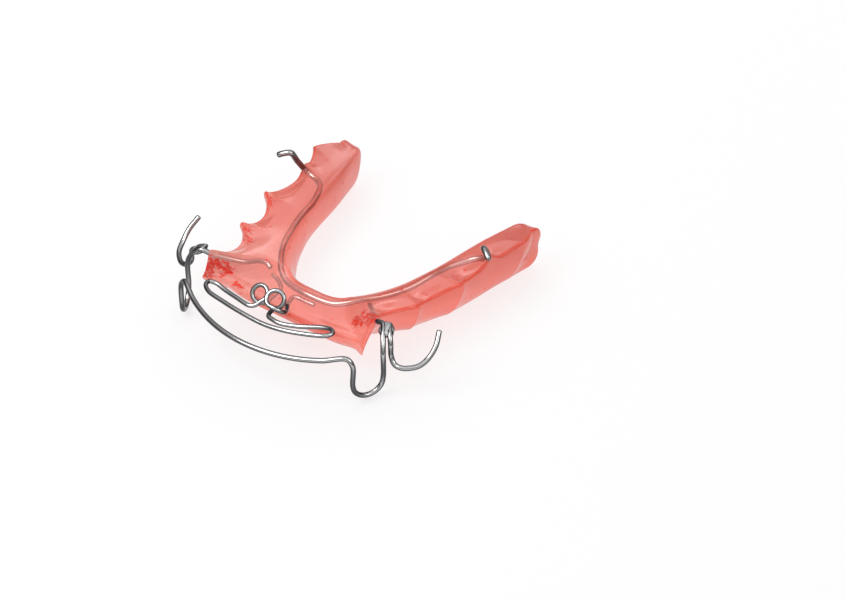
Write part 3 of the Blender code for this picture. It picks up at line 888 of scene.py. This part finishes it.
def resin_cloudiness(tree, rim, marks, behind, mirrored_ray, shade):
    """Share of the cloudy part against the clear part."""
    marked = reckon(tree, "MULTIPLY", marks, STAIN_CLOUDINESS - CLOUDINESS)
    cloudy = reckon(tree, "ADD", marked, CLOUDINESS)
    cloudy = reckon(tree, "ADD", reckon(tree, "MULTIPLY", rim, EDGE_CLOUDINESS), cloudy)
    backed = step_up(tree, mirrored_ray, 0.0, 1.0, BACK_CLOUDINESS, MIRRORED_CLOUDINESS)
    cloudy = step_up(tree, behind, 0.0, 1.0, cloudy, backed)
    return step_up(tree, shade, 0.0, 1.0, cloudy, SHADE_CLOUDINESS)


def resin_relief(tree, place, mottle):
    """Normal of a surface with a faint ripple, and pits in the stains and dents."""
    ripple = reckon(tree, "MULTIPLY", noise_at(tree, place, RIPPLE_SCALE, BROAD_DETAIL), RIPPLE)
    dents = nearness(tree, place, STAINS + DENTS)
    pits = reckon(tree, "MULTIPLY", reckon(tree, "MULTIPLY", dents, mottle), PIT_DEPTH)
    height = reckon(tree, "ADD", ripple, pits)
    inputs = {"Height": height, "Strength": 1.0, "Distance": BUMP_DISTANCE}
    return add(tree, "ShaderNodeBump", inputs).outputs["Normal"]


def acrylic():
    """Pink resin that is partly clear and partly cloudy, under a glossy skin."""
    material, tree = blank_material("pink_acrylic")
    place = add(tree, "ShaderNodeTexCoord").outputs["Object"]
    behind = add(tree, "ShaderNodeNewGeometry").outputs["Backfacing"]
    path = add(tree, "ShaderNodeLightPath")
    shade = path.outputs["Is Shadow Ray"]
    mirrored_ray = path.outputs["Is Glossy Ray"]
    from_inside = reckon(tree, "MULTIPLY", mirrored_ray, behind)
    rim = deep_edge(tree)
    mottle = mottling(tree, place)
    marks = stain_marks(tree, place, mottle)
    body = resin_colour(tree, place, rim, marks, behind)
    tint = resin_tint(tree, rim, marks, from_inside, shade)
    cloudy = resin_cloudiness(tree, rim, marks, behind, mirrored_ray, shade)
    normal = resin_relief(tree, place, mottle)
    clear = add(tree, "ShaderNodeBsdfTransparent", {"Color": tint}).outputs[0]
    lit = add(tree, "ShaderNodeBsdfDiffuse", {"Color": body, "Normal": normal}).outputs[0]
    glow = add(tree, "ShaderNodeBsdfTranslucent", {"Color": body, "Normal": normal}).outputs[0]
    matter = add(tree, "ShaderNodeMixShader", {0: GLOW, 1: lit, 2: glow}).outputs[0]
    inner = add(tree, "ShaderNodeMixShader", {0: cloudy, 1: clear, 2: matter}).outputs[0]
    shine = add(tree, "ShaderNodeBsdfAnisotropic", {"Roughness": GLOSS, "Normal": normal})
    sheen = add(tree, "ShaderNodeFresnel", {"IOR": RESIN_INDEX, "Normal": normal}).outputs[0]
    sheen = step_up(tree, reckon(tree, "MAXIMUM", behind, shade), 0.0, 1.0, sheen, 0.0)
    whole = add(tree, "ShaderNodeMixShader", {0: sheen, 1: inner, 2: shine.outputs[0]})
    add(tree, "ShaderNodeOutputMaterial", {"Surface": whole.outputs[0]})
    return material


# Wall of the channels in the plate

LINING_TINT = rgba(1.0, 0.93, 0.92)


def channel_wall():
    """The wall between resin and wire, which only tints what lies behind it."""
    material, tree = blank_material("channel_wall")
    clear = add(tree, "ShaderNodeBsdfTransparent", {"Color": LINING_TINT})
    add(tree, "ShaderNodeOutputMaterial", {"Surface": clear.outputs[0]})
    return material


# Metals: each has a bright colour and a dark painted shade for where it turns away, and where resin
# holds it a painted highlight and a reddish painted shade

# Bright colours, and dark painted shades where a wire turns away from the eye
STEEL_BRIGHT = rgba(0.62, 0.62, 0.625)
STEEL_PAINTED_SHADE = rgba(0.07, 0.07, 0.075)
STEEL_GRAIN = 2500.0
STEEL_GRAIN_DEPTH = 0.05
SOLDER_BRIGHT = rgba(0.70, 0.70, 0.70)
SOLDER_PAINTED_SHADE = rgba(0.13, 0.13, 0.135)
SOLDER_GRAIN = 1300.0
SOLDER_GRAIN_DEPTH = 0.9
# Painted highlight and reddish painted shade of a wire seen through resin
HELD_PAINTED_HIGHLIGHT = rgba(0.86, 0.85, 0.85)
HELD_PAINTED_SHADE = rgba(0.30, 0.07, 0.05)
METAL_ROUGHNESS = 0.15
METAL_BLEND = 0.5
PAINTED_SHADE_LIMITS = (0.01, 0.34)
GRAIN_DETAIL = 3.0
GRAIN_LIMITS = (0.3, 0.7)
ROUGHEST = 1.4
SMOOTHEST = 0.7


def metal(name, bright, dark, grain_scale, grain_depth):
    """Polished metal, whose colour has painted shade where it turns away from the eye, and a
    painted highlight and reddish painted shade where resin holds it.
    """
    material, tree = blank_material(name)
    place = add(tree, "ShaderNodeTexCoord").outputs["Object"]
    facing = add(tree, "ShaderNodeLayerWeight", {"Blend": METAL_BLEND}).outputs["Facing"]
    # Painted shade: darker towards the edges of a wire, where it turns away from the eye
    turned = step_up(tree, facing, *PAINTED_SHADE_LIMITS)
    exposed_with_painted_shade = mix_colour(tree, turned, bright, dark)
    held_and_painted_light = add(tree, "ShaderNodeAttribute", attribute_name="held_and_painted_light").outputs["Fac"]
    # Where resin holds the wire: a painted highlight in its middle and a reddish painted shade at
    # its edges
    colour = mix_colour(tree, held_and_painted_light, exposed_with_painted_shade, mix_colour(tree, turned, HELD_PAINTED_HIGHLIGHT, HELD_PAINTED_SHADE))
    grain = noise_at(tree, place, grain_scale, GRAIN_DETAIL)
    smooth = METAL_ROUGHNESS * SMOOTHEST
    rough = step_up(tree, grain, *GRAIN_LIMITS, smooth, METAL_ROUGHNESS * ROUGHEST)
    inputs = {"Height": grain, "Strength": grain_depth, "Distance": BUMP_DISTANCE}
    normal = add(tree, "ShaderNodeBump", inputs).outputs["Normal"]
    inputs = {"Base Color": colour, "Metallic": 1.0, "Roughness": rough, "Normal": normal}
    shader = add(tree, "ShaderNodeBsdfPrincipled", inputs)
    add(tree, "ShaderNodeOutputMaterial", {"Surface": shader.outputs[0]})
    return material


def bright_steel():
    return metal("bright_steel", STEEL_BRIGHT, STEEL_PAINTED_SHADE, STEEL_GRAIN, STEEL_GRAIN_DEPTH)


def silver_solder():
    return metal("silver_solder", SOLDER_BRIGHT, SOLDER_PAINTED_SHADE, SOLDER_GRAIN, SOLDER_GRAIN_DEPTH)


steel = bright_steel()
solder = silver_solder()
resin = acrylic()
lining = channel_wall()


# Base plate

sections = [plate_section(s) for s in plate_stations()]
heel_along = lifted(rail(BORDER, LAST) - rail(BORDER, LAST - HEEL_RUN), 0.0).normalized()
right_heel = heel_sections(sections[-1], heel_along)
left_heel = heel_sections(sections[0], mirrored(heel_along))
shell = skin(left_heel[::-1] + sections + right_heel)
mark_edges(shell, len(sections[0]))
plate = dress("base_plate", shell, resin)


# Lingual wire: one wire through the whole plate, with a rest at each end

def lingual_half(side):
    """Points from the midline out to one rest; side is 1 or -1."""
    depth = COVER + LINGUAL_WIRE / 2
    run = []
    for s in WIRE_STATIONS:
        reach = (rail(CREST, s) - edge_point(s)).length
        at_bend = exp(-(((s - BEND_STATION) / BEND_SPREAD) ** 2))
        inset = WIRE_INSET + BEND_SHIFT * at_bend
        run.append(shelf_point(s, 1 - inset / reach, depth + BEND_SINK * at_bend))
    rest = FIRST_MOLAR + rest_place(side)
    run.append(shelf_point(rest - 0.1, 0.66, depth))
    run.append(shelf_point(rest, 0.42, depth))
    run.append(shelf_point(rest, 0.1, COVER * 0.4 + LINGUAL_WIRE / 2))
    wall = edge_point(rest)
    run.append(point(wall.x - 0.1, wall.y - 1.2, wall.z + 1.5))
    bend = point(wall.x + 0.2, wall.y - 2.2, REST_HEIGHT)
    run.append(bend)
    run += [bend + point(*step) for step in REST_STEPS]
    return run if side > 0 else [mirrored(p) for p in run]


right_half = lingual_half(1)
left_half = lingual_half(-1)
lingual_path = smooth_path(left_half[:0:-1] + right_half)
lingual_last = len(lingual_path) - 1
lingual = dress("lingual_wire", tube(lingual_path, LINGUAL_WIRE), steel)
surfaced = nearest(lingual_path, right_half[REST_EXIT - 1]) + 2
# The mark runs on over the exposed rest, which paints light on it
mark_held(lingual, [(lingual_last - surfaced, surfaced)], REST_PAINTED_LIGHT_FADE)
way_out = nearest(lingual_path, right_half[REST_EXIT])
inside = lingual_path[lingual_last - way_out : way_out + 1]
cutters = [channel(plate, inside, LINGUAL_WIRE, lining)]


# Labial bow: tag, crossing, U-loop, front run, U-loop, crossing, tag

LOOP_ALONG = point(0.46, 0.89, 0.0).normalized()
BOW_HALF_SPAN = CANINE_CORNER_WIDTH + BOW_SIDE_STEP
BOW_DEPTH = COVER + BOW_WIRE / 2


def bow_run_point(x):
    """A point of the front run, which curves back and rises towards its ends."""
    rise = (abs(x) / BOW_HALF_SPAN) ** 4
    height = BOW_HEIGHT + (BOW_END_HEIGHT - BOW_HEIGHT) * rise
    return point(x, BOW_FRONT + x * x / (2 * BOW_RADIUS), height)


bow_top = bow_run_point(BOW_HALF_SPAN)
front_leg = bow_top + point(*LOOP_SHIFT)
back_leg = front_leg + LOOP_ALONG * LOOP_WIDTH


def bow_crossing(side):
    """Where the bow crosses the canine's contact, as if it were on the right side."""
    tip = edge_point(CANINE_TIP * side)
    over = point(abs(tip.x) + CROSSING_OUT, tip.y - CROSSING_FORWARD, tip.z - CROSSING_DROP)
    out = blend(over, lifted(back_leg, over.z), CROSSING_SHARE)
    out.z -= CROSSING_SAG
    return over, out


def bow_side(side):
    """Crossing and U-loop of one side, from the plate's tip to the front run."""
    over, out = bow_crossing(side)
    radius = LOOP_WIDTH / 2
    middle = blend(front_leg, back_leg, 0.5)
    low = front_leg.z - LOOP_DROP + radius
    loop = [over, out, lifted(back_leg, over.z - LOOP_SHOULDER)]
    for angle in range(0, 181, 30):
        a = radians(angle)
        swing = LOOP_ALONG * radius * cos(a)
        loop.append(lifted(middle + swing, low - radius * sin(a)))
    return loop + [front_leg, bow_top]


left_tag = [
    shelf_point(-2.17, 0.73, 1.6),
    shelf_point(-2.28, 0.64, 1.25),
    shelf_point(-2.26, 0.53, 0.95),
    shelf_point(-2.07, 0.38, 0.9),
    shelf_point(-2.03, 0.22, BOW_DEPTH + 0.2),
    shelf_point(-2.03, 0.1, BOW_DEPTH + 0.15),
    shelf_point(-2.04, 0.0, BOW_DEPTH + 0.1),
]
right_tag = [
    shelf_point(2.0, 0.0, BOW_DEPTH + 0.12),
    shelf_point(2.08, 0.15, BOW_DEPTH + 0.08),
    shelf_point(2.24, 0.42, BOW_DEPTH + 0.02),
    shelf_point(2.31, 0.7, 0.9),
]
front_run = [bow_run_point(BOW_HALF_SPAN * i / 5) for i in range(-4, 5)]
bow_points = (
    left_tag
    + [mirrored(p) for p in bow_side(-1)]
    + front_run
    + bow_side(1)[::-1]
    + right_tag
)
bow_path = smooth_path(bow_points)
bow = dress("labial_bow", tube(bow_path, BOW_WIRE), steel)
left_held = (0, nearest(bow_path, left_tag[-1]))
right_held = (nearest(bow_path, right_tag[0]), len(bow_path))
mark_held(bow, [left_held, right_held])
over_left = nearest(bow_path, mirrored(bow_crossing(-1)[0]))
over_right = nearest(bow_path, bow_crossing(1)[0])
cutters.append(channel(plate, bow_path[: over_left + 1], BOW_WIRE, lining))
cutters.append(channel(plate, bow_path[over_right:], BOW_WIRE, lining))


# Clasps: each starts beside the bow in its solder joint and hugs a first premolar

WIRE_SPREAD = BOW_WIRE / 2 + CLASP_WIRE / 2 + 2 * FIT_GAP + SOLDER_WEB


def joint_frame(side):
    """Place and directions of a solder joint, as if it were on the right side."""
    over, out = bow_crossing(side)
    slope = (out - over).normalized()
    beside = point(-slope.y, slope.x, 0.0).normalized()
    return over, out, slope, beside


def joint_centre(side):
    """Middle of a solder joint, between the bow and the clasp."""
    over, out, _, beside = joint_frame(side)
    return blend(over, out, SOLDER_PLACE) + beside * WIRE_SPREAD / 2


def clasp_points(side):
    """Centreline of a clasp, from its solder joint to its free end."""
    over, out, slope, beside = joint_frame(side)
    start = over + beside * WIRE_SPREAD - slope * CLASP_LEAD
    along = out + beside * WIRE_SPREAD
    outward = point(LOOP_ALONG.y, -LOOP_ALONG.x, 0.0)
    away = WIRE_SPREAD + CLASP_GAP
    around = []
    for reach, travel, drop in CLASP_HOOK:
        sway = outward * CLASP_REACH * reach + LOOP_ALONG * (away + CLASP_LENGTH * travel)
        around.append(lifted(back_leg + sway, CLASP_DEPTH * drop))
    return [start, along] + around


# Solder joints: a lump round both wires

def solder_rings(side):
    """Sections of a solder joint, across the two wires it holds."""
    _, _, slope, beside = joint_frame(side)
    normal = slope.cross(beside).normalized()
    wide = WIRE_SPREAD / 2 + CLASP_WIRE / 2 + FIT_GAP + SOLDER_COVER
    thick = max(BOW_WIRE, CLASP_WIRE) / 2 + FIT_GAP + SOLDER_COVER
    centre = joint_centre(side)
    rings = []
    for i in range(SOLDER_RINGS + 1):
        turn = pi * i / SOLDER_RINGS
        place = -cos(turn)
        share = max(sin(turn), SOLDER_END) ** SOLDER_TAPER
        middle = centre + slope * SOLDER_LENGTH / 2 * place * SOLDER_OVERRUN
        ring = []
        for j in range(SOLDER_SIDES):
            a = 2 * pi * j / SOLDER_SIDES
            wave = SOLDER_WAVE * sin(2 * a + 3 * place + side)
            uneven = 1 + wave + SOLDER_RIPPLE * sin(5 * a - 4 * place)
            across = beside * wide * cos(a) + normal * thick * sin(a)
            ring.append(middle + across * share * uneven)
        rings.append(ring)
    return rings


for side, sign in (("right", 1), ("left", -1)):
    clasp_path = smooth_path(clasp_points(sign))
    joint = solder_rings(sign)
    centre = joint_centre(sign)
    if sign < 0:
        clasp_path = [mirrored(p) for p in clasp_path]
        joint = [[mirrored(p) for p in ring] for ring in joint]
        centre = mirrored(centre)
    dress("clasp_" + side, tube(clasp_path, CLASP_WIRE), steel)
    lump = dress("solder_joint_" + side, skin(joint), solder)
    bow_held = stretch(bow_path, centre, SOLDER_LENGTH)
    clasp_held = stretch(clasp_path, centre, SOLDER_LENGTH)
    ways = [channel(lump, bow_held, BOW_WIRE, solder)]
    ways.append(channel(lump, clasp_held, CLASP_WIRE, solder))
    settle(lump, ways)


# Active spring: one wire with two coils, and arms that lie behind the incisors

lean = radians(COIL_LEAN)
turned = radians(COIL_TURN)
coil_axis = point(sin(turned) * cos(lean), -cos(turned) * cos(lean), sin(lean))
coil_right = point(cos(turned), sin(turned), 0.0)
coil_up = coil_axis.cross(coil_right)
coil_half_pitch = (SPRING_WIRE + COIL_GAP) / 2
left_coil = point(-COIL_OFFSET, FRONT_DEPTH + COIL_SETBACK, FRONT_EDGE_HEIGHT + COIL_HEIGHT)
right_coil = left_coil + coil_right * COIL_SPACING
right_coil = right_coil + coil_axis * COIL_STAGGER - coil_up * COIL_SINK


def coil(centre, start, end):
    """One open turn; the wire moves along the coil's axis by its pitch."""
    turns = []
    for i in range(COIL_STEPS + 1):
        f = i / COIL_STEPS
        a = radians(start + (end - start) * f)
        swing = coil_right * cos(a) + coil_up * sin(a)
        turns.append(centre + swing * COIL_RADIUS + coil_axis * coil_half_pitch * (2 * f - 1))
    return turns


def spring_run_point(x):
    """A point of the run behind the incisors, which rises a little to the right."""
    radius = SPRING_LEFT_RADIUS if x < 0 else SPRING_RIGHT_RADIUS
    lift = SPRING_RIGHT_RISE * max(x, 0.0) / SPRING_RIGHT_REACH
    return point(x, SPRING_FRONT + x * x / (2 * radius), SPRING_HEIGHT + lift)


SPRING_DEPTH = COVER + SPRING_WIRE / 2
arm_height = SPRING_HEIGHT - SPRING_ARM_DROP
tag_left = [
    shelf_point(-1.85, 0.78, 1.8),
    shelf_point(-1.15, 0.83, 1.4),
    shelf_point(-0.74, 0.77, 1.3),
    shelf_point(-0.56, 0.69, 1.15),
    shelf_point(-0.41, 0.48, 0.9),
    shelf_point(-0.33, 0.27, 0.7),
    shelf_point(-0.27, 0.1, SPRING_DEPTH),
]
tag_right = [
    shelf_point(-0.08, 0.3, SPRING_DEPTH * 0.8),
    shelf_point(-0.11, 0.38, 0.8),
    shelf_point(-0.17, 0.53, 1.0),
    shelf_point(-0.22, 0.66, 1.2),
    shelf_point(-0.15, 0.72, 1.3),
    shelf_point(0.04, 0.72, 1.3),
    shelf_point(0.25, 0.73, 1.3),
]
left_coil_turns = coil(left_coil, *LEFT_COIL_TURN)
right_coil_turns = coil(right_coil, *RIGHT_COIL_TURN)
left_tail = left_coil_turns[-1]
left_end = -SPRING_LEFT_REACH
right_end = SPRING_RIGHT_REACH
left_arm = [
    left_tail + point(-0.35, -0.7, -0.35),
    point(left_tail.x - 1.0, left_tail.y - 1.1, arm_height),
    point(left_end * 0.58, left_tail.y - 0.85, arm_height),
    point(left_end * 0.78, left_tail.y - 0.5, arm_height),
    point(left_end + 0.8, left_tail.y - 0.3, arm_height + 0.2),
    point(left_end, left_tail.y - 0.75, arm_height + 0.4),
    point(left_end + 0.15, left_tail.y - 1.6, SPRING_HEIGHT),
]
run = [spring_run_point(left_end * f) for f in (0.88, 0.64, 0.37)]
run += [spring_run_point(right_end * f) for f in (0.0, 0.3, 0.6, 0.95)]
corner = run[-1]
right_start = right_coil_turns[0]
right_arm = [
    corner + point(0.3, 0.85, 0.0),
    corner + point(-0.3, 1.35, -0.05),
    corner + point(-1.6, 1.3, -0.3),
    point(right_end * 0.4, corner.y + 0.2, arm_height + 0.1),
    point(right_end * 0.15, corner.y - 0.55, arm_height),
    point(right_start.x + 0.75, right_start.y - 1.7, arm_height),
    point(right_start.x + 0.05, right_start.y - 1.5, arm_height),
    point(right_start.x - 0.2, right_start.y - 0.8, arm_height + 0.1),
]
right_tail = right_coil_turns[-1]
lead_right = [
    right_tail + point(0.75, 0.15, -0.22),
    right_tail + point(1.25, 0.8, -0.78),
    right_tail + point(1.0, 1.7, -1.3),
]
spring_points = (
    tag_left
    + left_coil_turns
    + left_arm
    + run
    + right_arm
    + right_coil_turns
    + lead_right
    + tag_right
)
spring_path = smooth_path(spring_points)
spring = dress("active_spring", tube(spring_path, SPRING_WIRE), steel)
left_held = (0, nearest(spring_path, tag_left[-1]))
right_held = (nearest(spring_path, tag_right[0]), len(spring_path))
mark_held(spring, [left_held, right_held])
left_out = nearest(spring_path, left_coil_turns[1])
right_out = nearest(spring_path, lead_right[0])
cutters.append(channel(plate, spring_path[: left_out + 1], SPRING_WIRE, lining))
cutters.append(channel(plate, spring_path[right_out:], SPRING_WIRE, lining))
settle(plate, cutters)


# Studio: pale floor, soft boxes, and a world that shines dimly low down and brightly above

WHITE = rgba(1.0, 1.0, 1.0)
FLOOR_HALF = 1.5
FLOOR_DROP = -0.00005
FLOOR_COLOUR = rgba(0.88, 0.88, 0.89)
FLOOR_LIFT = 0.7
WORLD_LIGHT = 0.5
MIRROR_LOW = 0.17
MIRROR_HIGH = 0.9
MIRROR_LIMITS = (0.0, 0.9)

# Soft boxes: a name, azimuth, elevation, distance, width, height and radiance
SOFT_BOXES = (
    ("key", -25.0, 53.0, 0.40, 0.22, 0.22, 5.0),
    ("fill", 95.0, 40.0, 0.45, 0.25, 0.15, 2.0),
    ("rim", 185.0, 33.0, 0.45, 0.34, 0.16, 2.0),
    ("veil", 228.0, 46.0, 0.45, 0.40, 0.34, 1.2),
)

# Camera: its place, seen from the object, and its view in the photograph's pixels
CAMERA_AZIMUTH = 37.3
CAMERA_ELEVATION = 38.3
CAMERA_DISTANCE = 700.0
CAMERA_TARGET = Vector((11.953, 19.591, -4.0))
CAMERA_NEAR = 0.01
CAMERA_FAR = 10.0
FOCAL_PIXELS = 5530.0
SENSOR_WIDTH = 36.0
PHOTO_WIDTH = 845.0


def direction_to(azimuth, elevation):
    """Direction from the object to what stands at an azimuth and elevation, in degrees."""
    a = radians(azimuth)
    e = radians(elevation)
    return Vector((sin(a) * cos(e), -cos(a) * cos(e), sin(e)))


def pale_floor():
    """Pale paper, lifted towards white where the camera, gloss or clear resin shows it."""
    material, tree = blank_material("pale_floor")
    paper = add(tree, "ShaderNodeBsdfDiffuse", {"Color": FLOOR_COLOUR}).outputs[0]
    glow = add(tree, "ShaderNodeEmission", {"Color": WHITE, "Strength": 1.0}).outputs[0]
    path = add(tree, "ShaderNodeLightPath")
    seen = reckon(tree, "MAXIMUM", path.outputs["Is Camera Ray"], path.outputs["Is Glossy Ray"])
    seen = reckon(tree, "MAXIMUM", seen, path.outputs["Is Transmission Ray"])
    lift = reckon(tree, "MULTIPLY", seen, FLOOR_LIFT)
    surface = add(tree, "ShaderNodeMixShader", {0: lift, 1: paper, 2: glow})
    add(tree, "ShaderNodeOutputMaterial", {"Surface": surface.outputs[0]})
    return material


def floor():
    """A wide square just under the object."""
    bm = bmesh.new()
    half = FLOOR_HALF
    corners = [(-half, -half), (half, -half), (half, half), (-half, half)]
    bm.faces.new([bm.verts.new((x, y, FLOOR_DROP)) for x, y in corners])
    mesh = bpy.data.meshes.new("floor")
    bm.to_mesh(mesh)
    bm.free()
    obj = bpy.data.objects.new("floor", mesh)
    bpy.context.scene.collection.objects.link(obj)
    obj.data.materials.append(pale_floor())


def soft_box(name, azimuth, elevation, distance, width, height, radiance):
    """A rectangular lamp that looks at the object; radiance is its own brightness."""
    back = direction_to(azimuth, elevation)
    lamp = bpy.data.lights.new(name, "AREA")
    lamp.shape = "RECTANGLE"
    lamp.size = width
    lamp.size_y = height
    lamp.energy = radiance * pi * width * height
    obj = bpy.data.objects.new(name, lamp)
    bpy.context.scene.collection.objects.link(obj)
    obj.location = back * distance
    obj.rotation_mode = "QUATERNION"
    obj.rotation_quaternion = (-back).to_track_quat("-Z", "Y")


def world():
    """An even light for matt surfaces; what shines sees it dark low down and bright above."""
    sky = bpy.data.worlds.new("studio")
    bpy.context.scene.world = sky
    sky.use_nodes = True
    tree = sky.node_tree
    tree.nodes.clear()
    heading = add(tree, "ShaderNodeTexCoord").outputs["Generated"]
    height = add(tree, "ShaderNodeSeparateXYZ", {"Vector": heading}).outputs["Z"]
    seen = step_up(tree, height, *MIRROR_LIMITS, MIRROR_LOW, MIRROR_HIGH)
    glossy = add(tree, "ShaderNodeLightPath").outputs["Is Glossy Ray"]
    strength = step_up(tree, glossy, 0.0, 1.0, WORLD_LIGHT, seen)
    light = add(tree, "ShaderNodeBackground", {"Color": WHITE, "Strength": strength})
    add(tree, "ShaderNodeOutputWorld", {"Surface": light.outputs[0]})


def camera():
    """The photograph's view: turned, raised and framed as measured from it."""
    back = direction_to(CAMERA_AZIMUTH, CAMERA_ELEVATION)
    right = direction_to(CAMERA_AZIMUTH + 90, 0.0)
    up = back.cross(right)
    matrix = Matrix((right, up, back)).transposed().to_4x4()
    matrix.translation = (CAMERA_TARGET + ROOT + back * CAMERA_DISTANCE) * MM
    lens = bpy.data.cameras.new("camera")
    lens.sensor_width = SENSOR_WIDTH
    lens.lens = FOCAL_PIXELS * SENSOR_WIDTH / PHOTO_WIDTH
    lens.clip_start = CAMERA_NEAR
    lens.clip_end = CAMERA_FAR
    obj = bpy.data.objects.new("camera", lens)
    bpy.context.scene.collection.objects.link(obj)
    obj.matrix_world = matrix
    bpy.context.scene.camera = obj


floor()
world()
for box in SOFT_BOXES:
    soft_box(*box)
camera()
bpy.context.scene.view_settings.view_transform = "Standard"
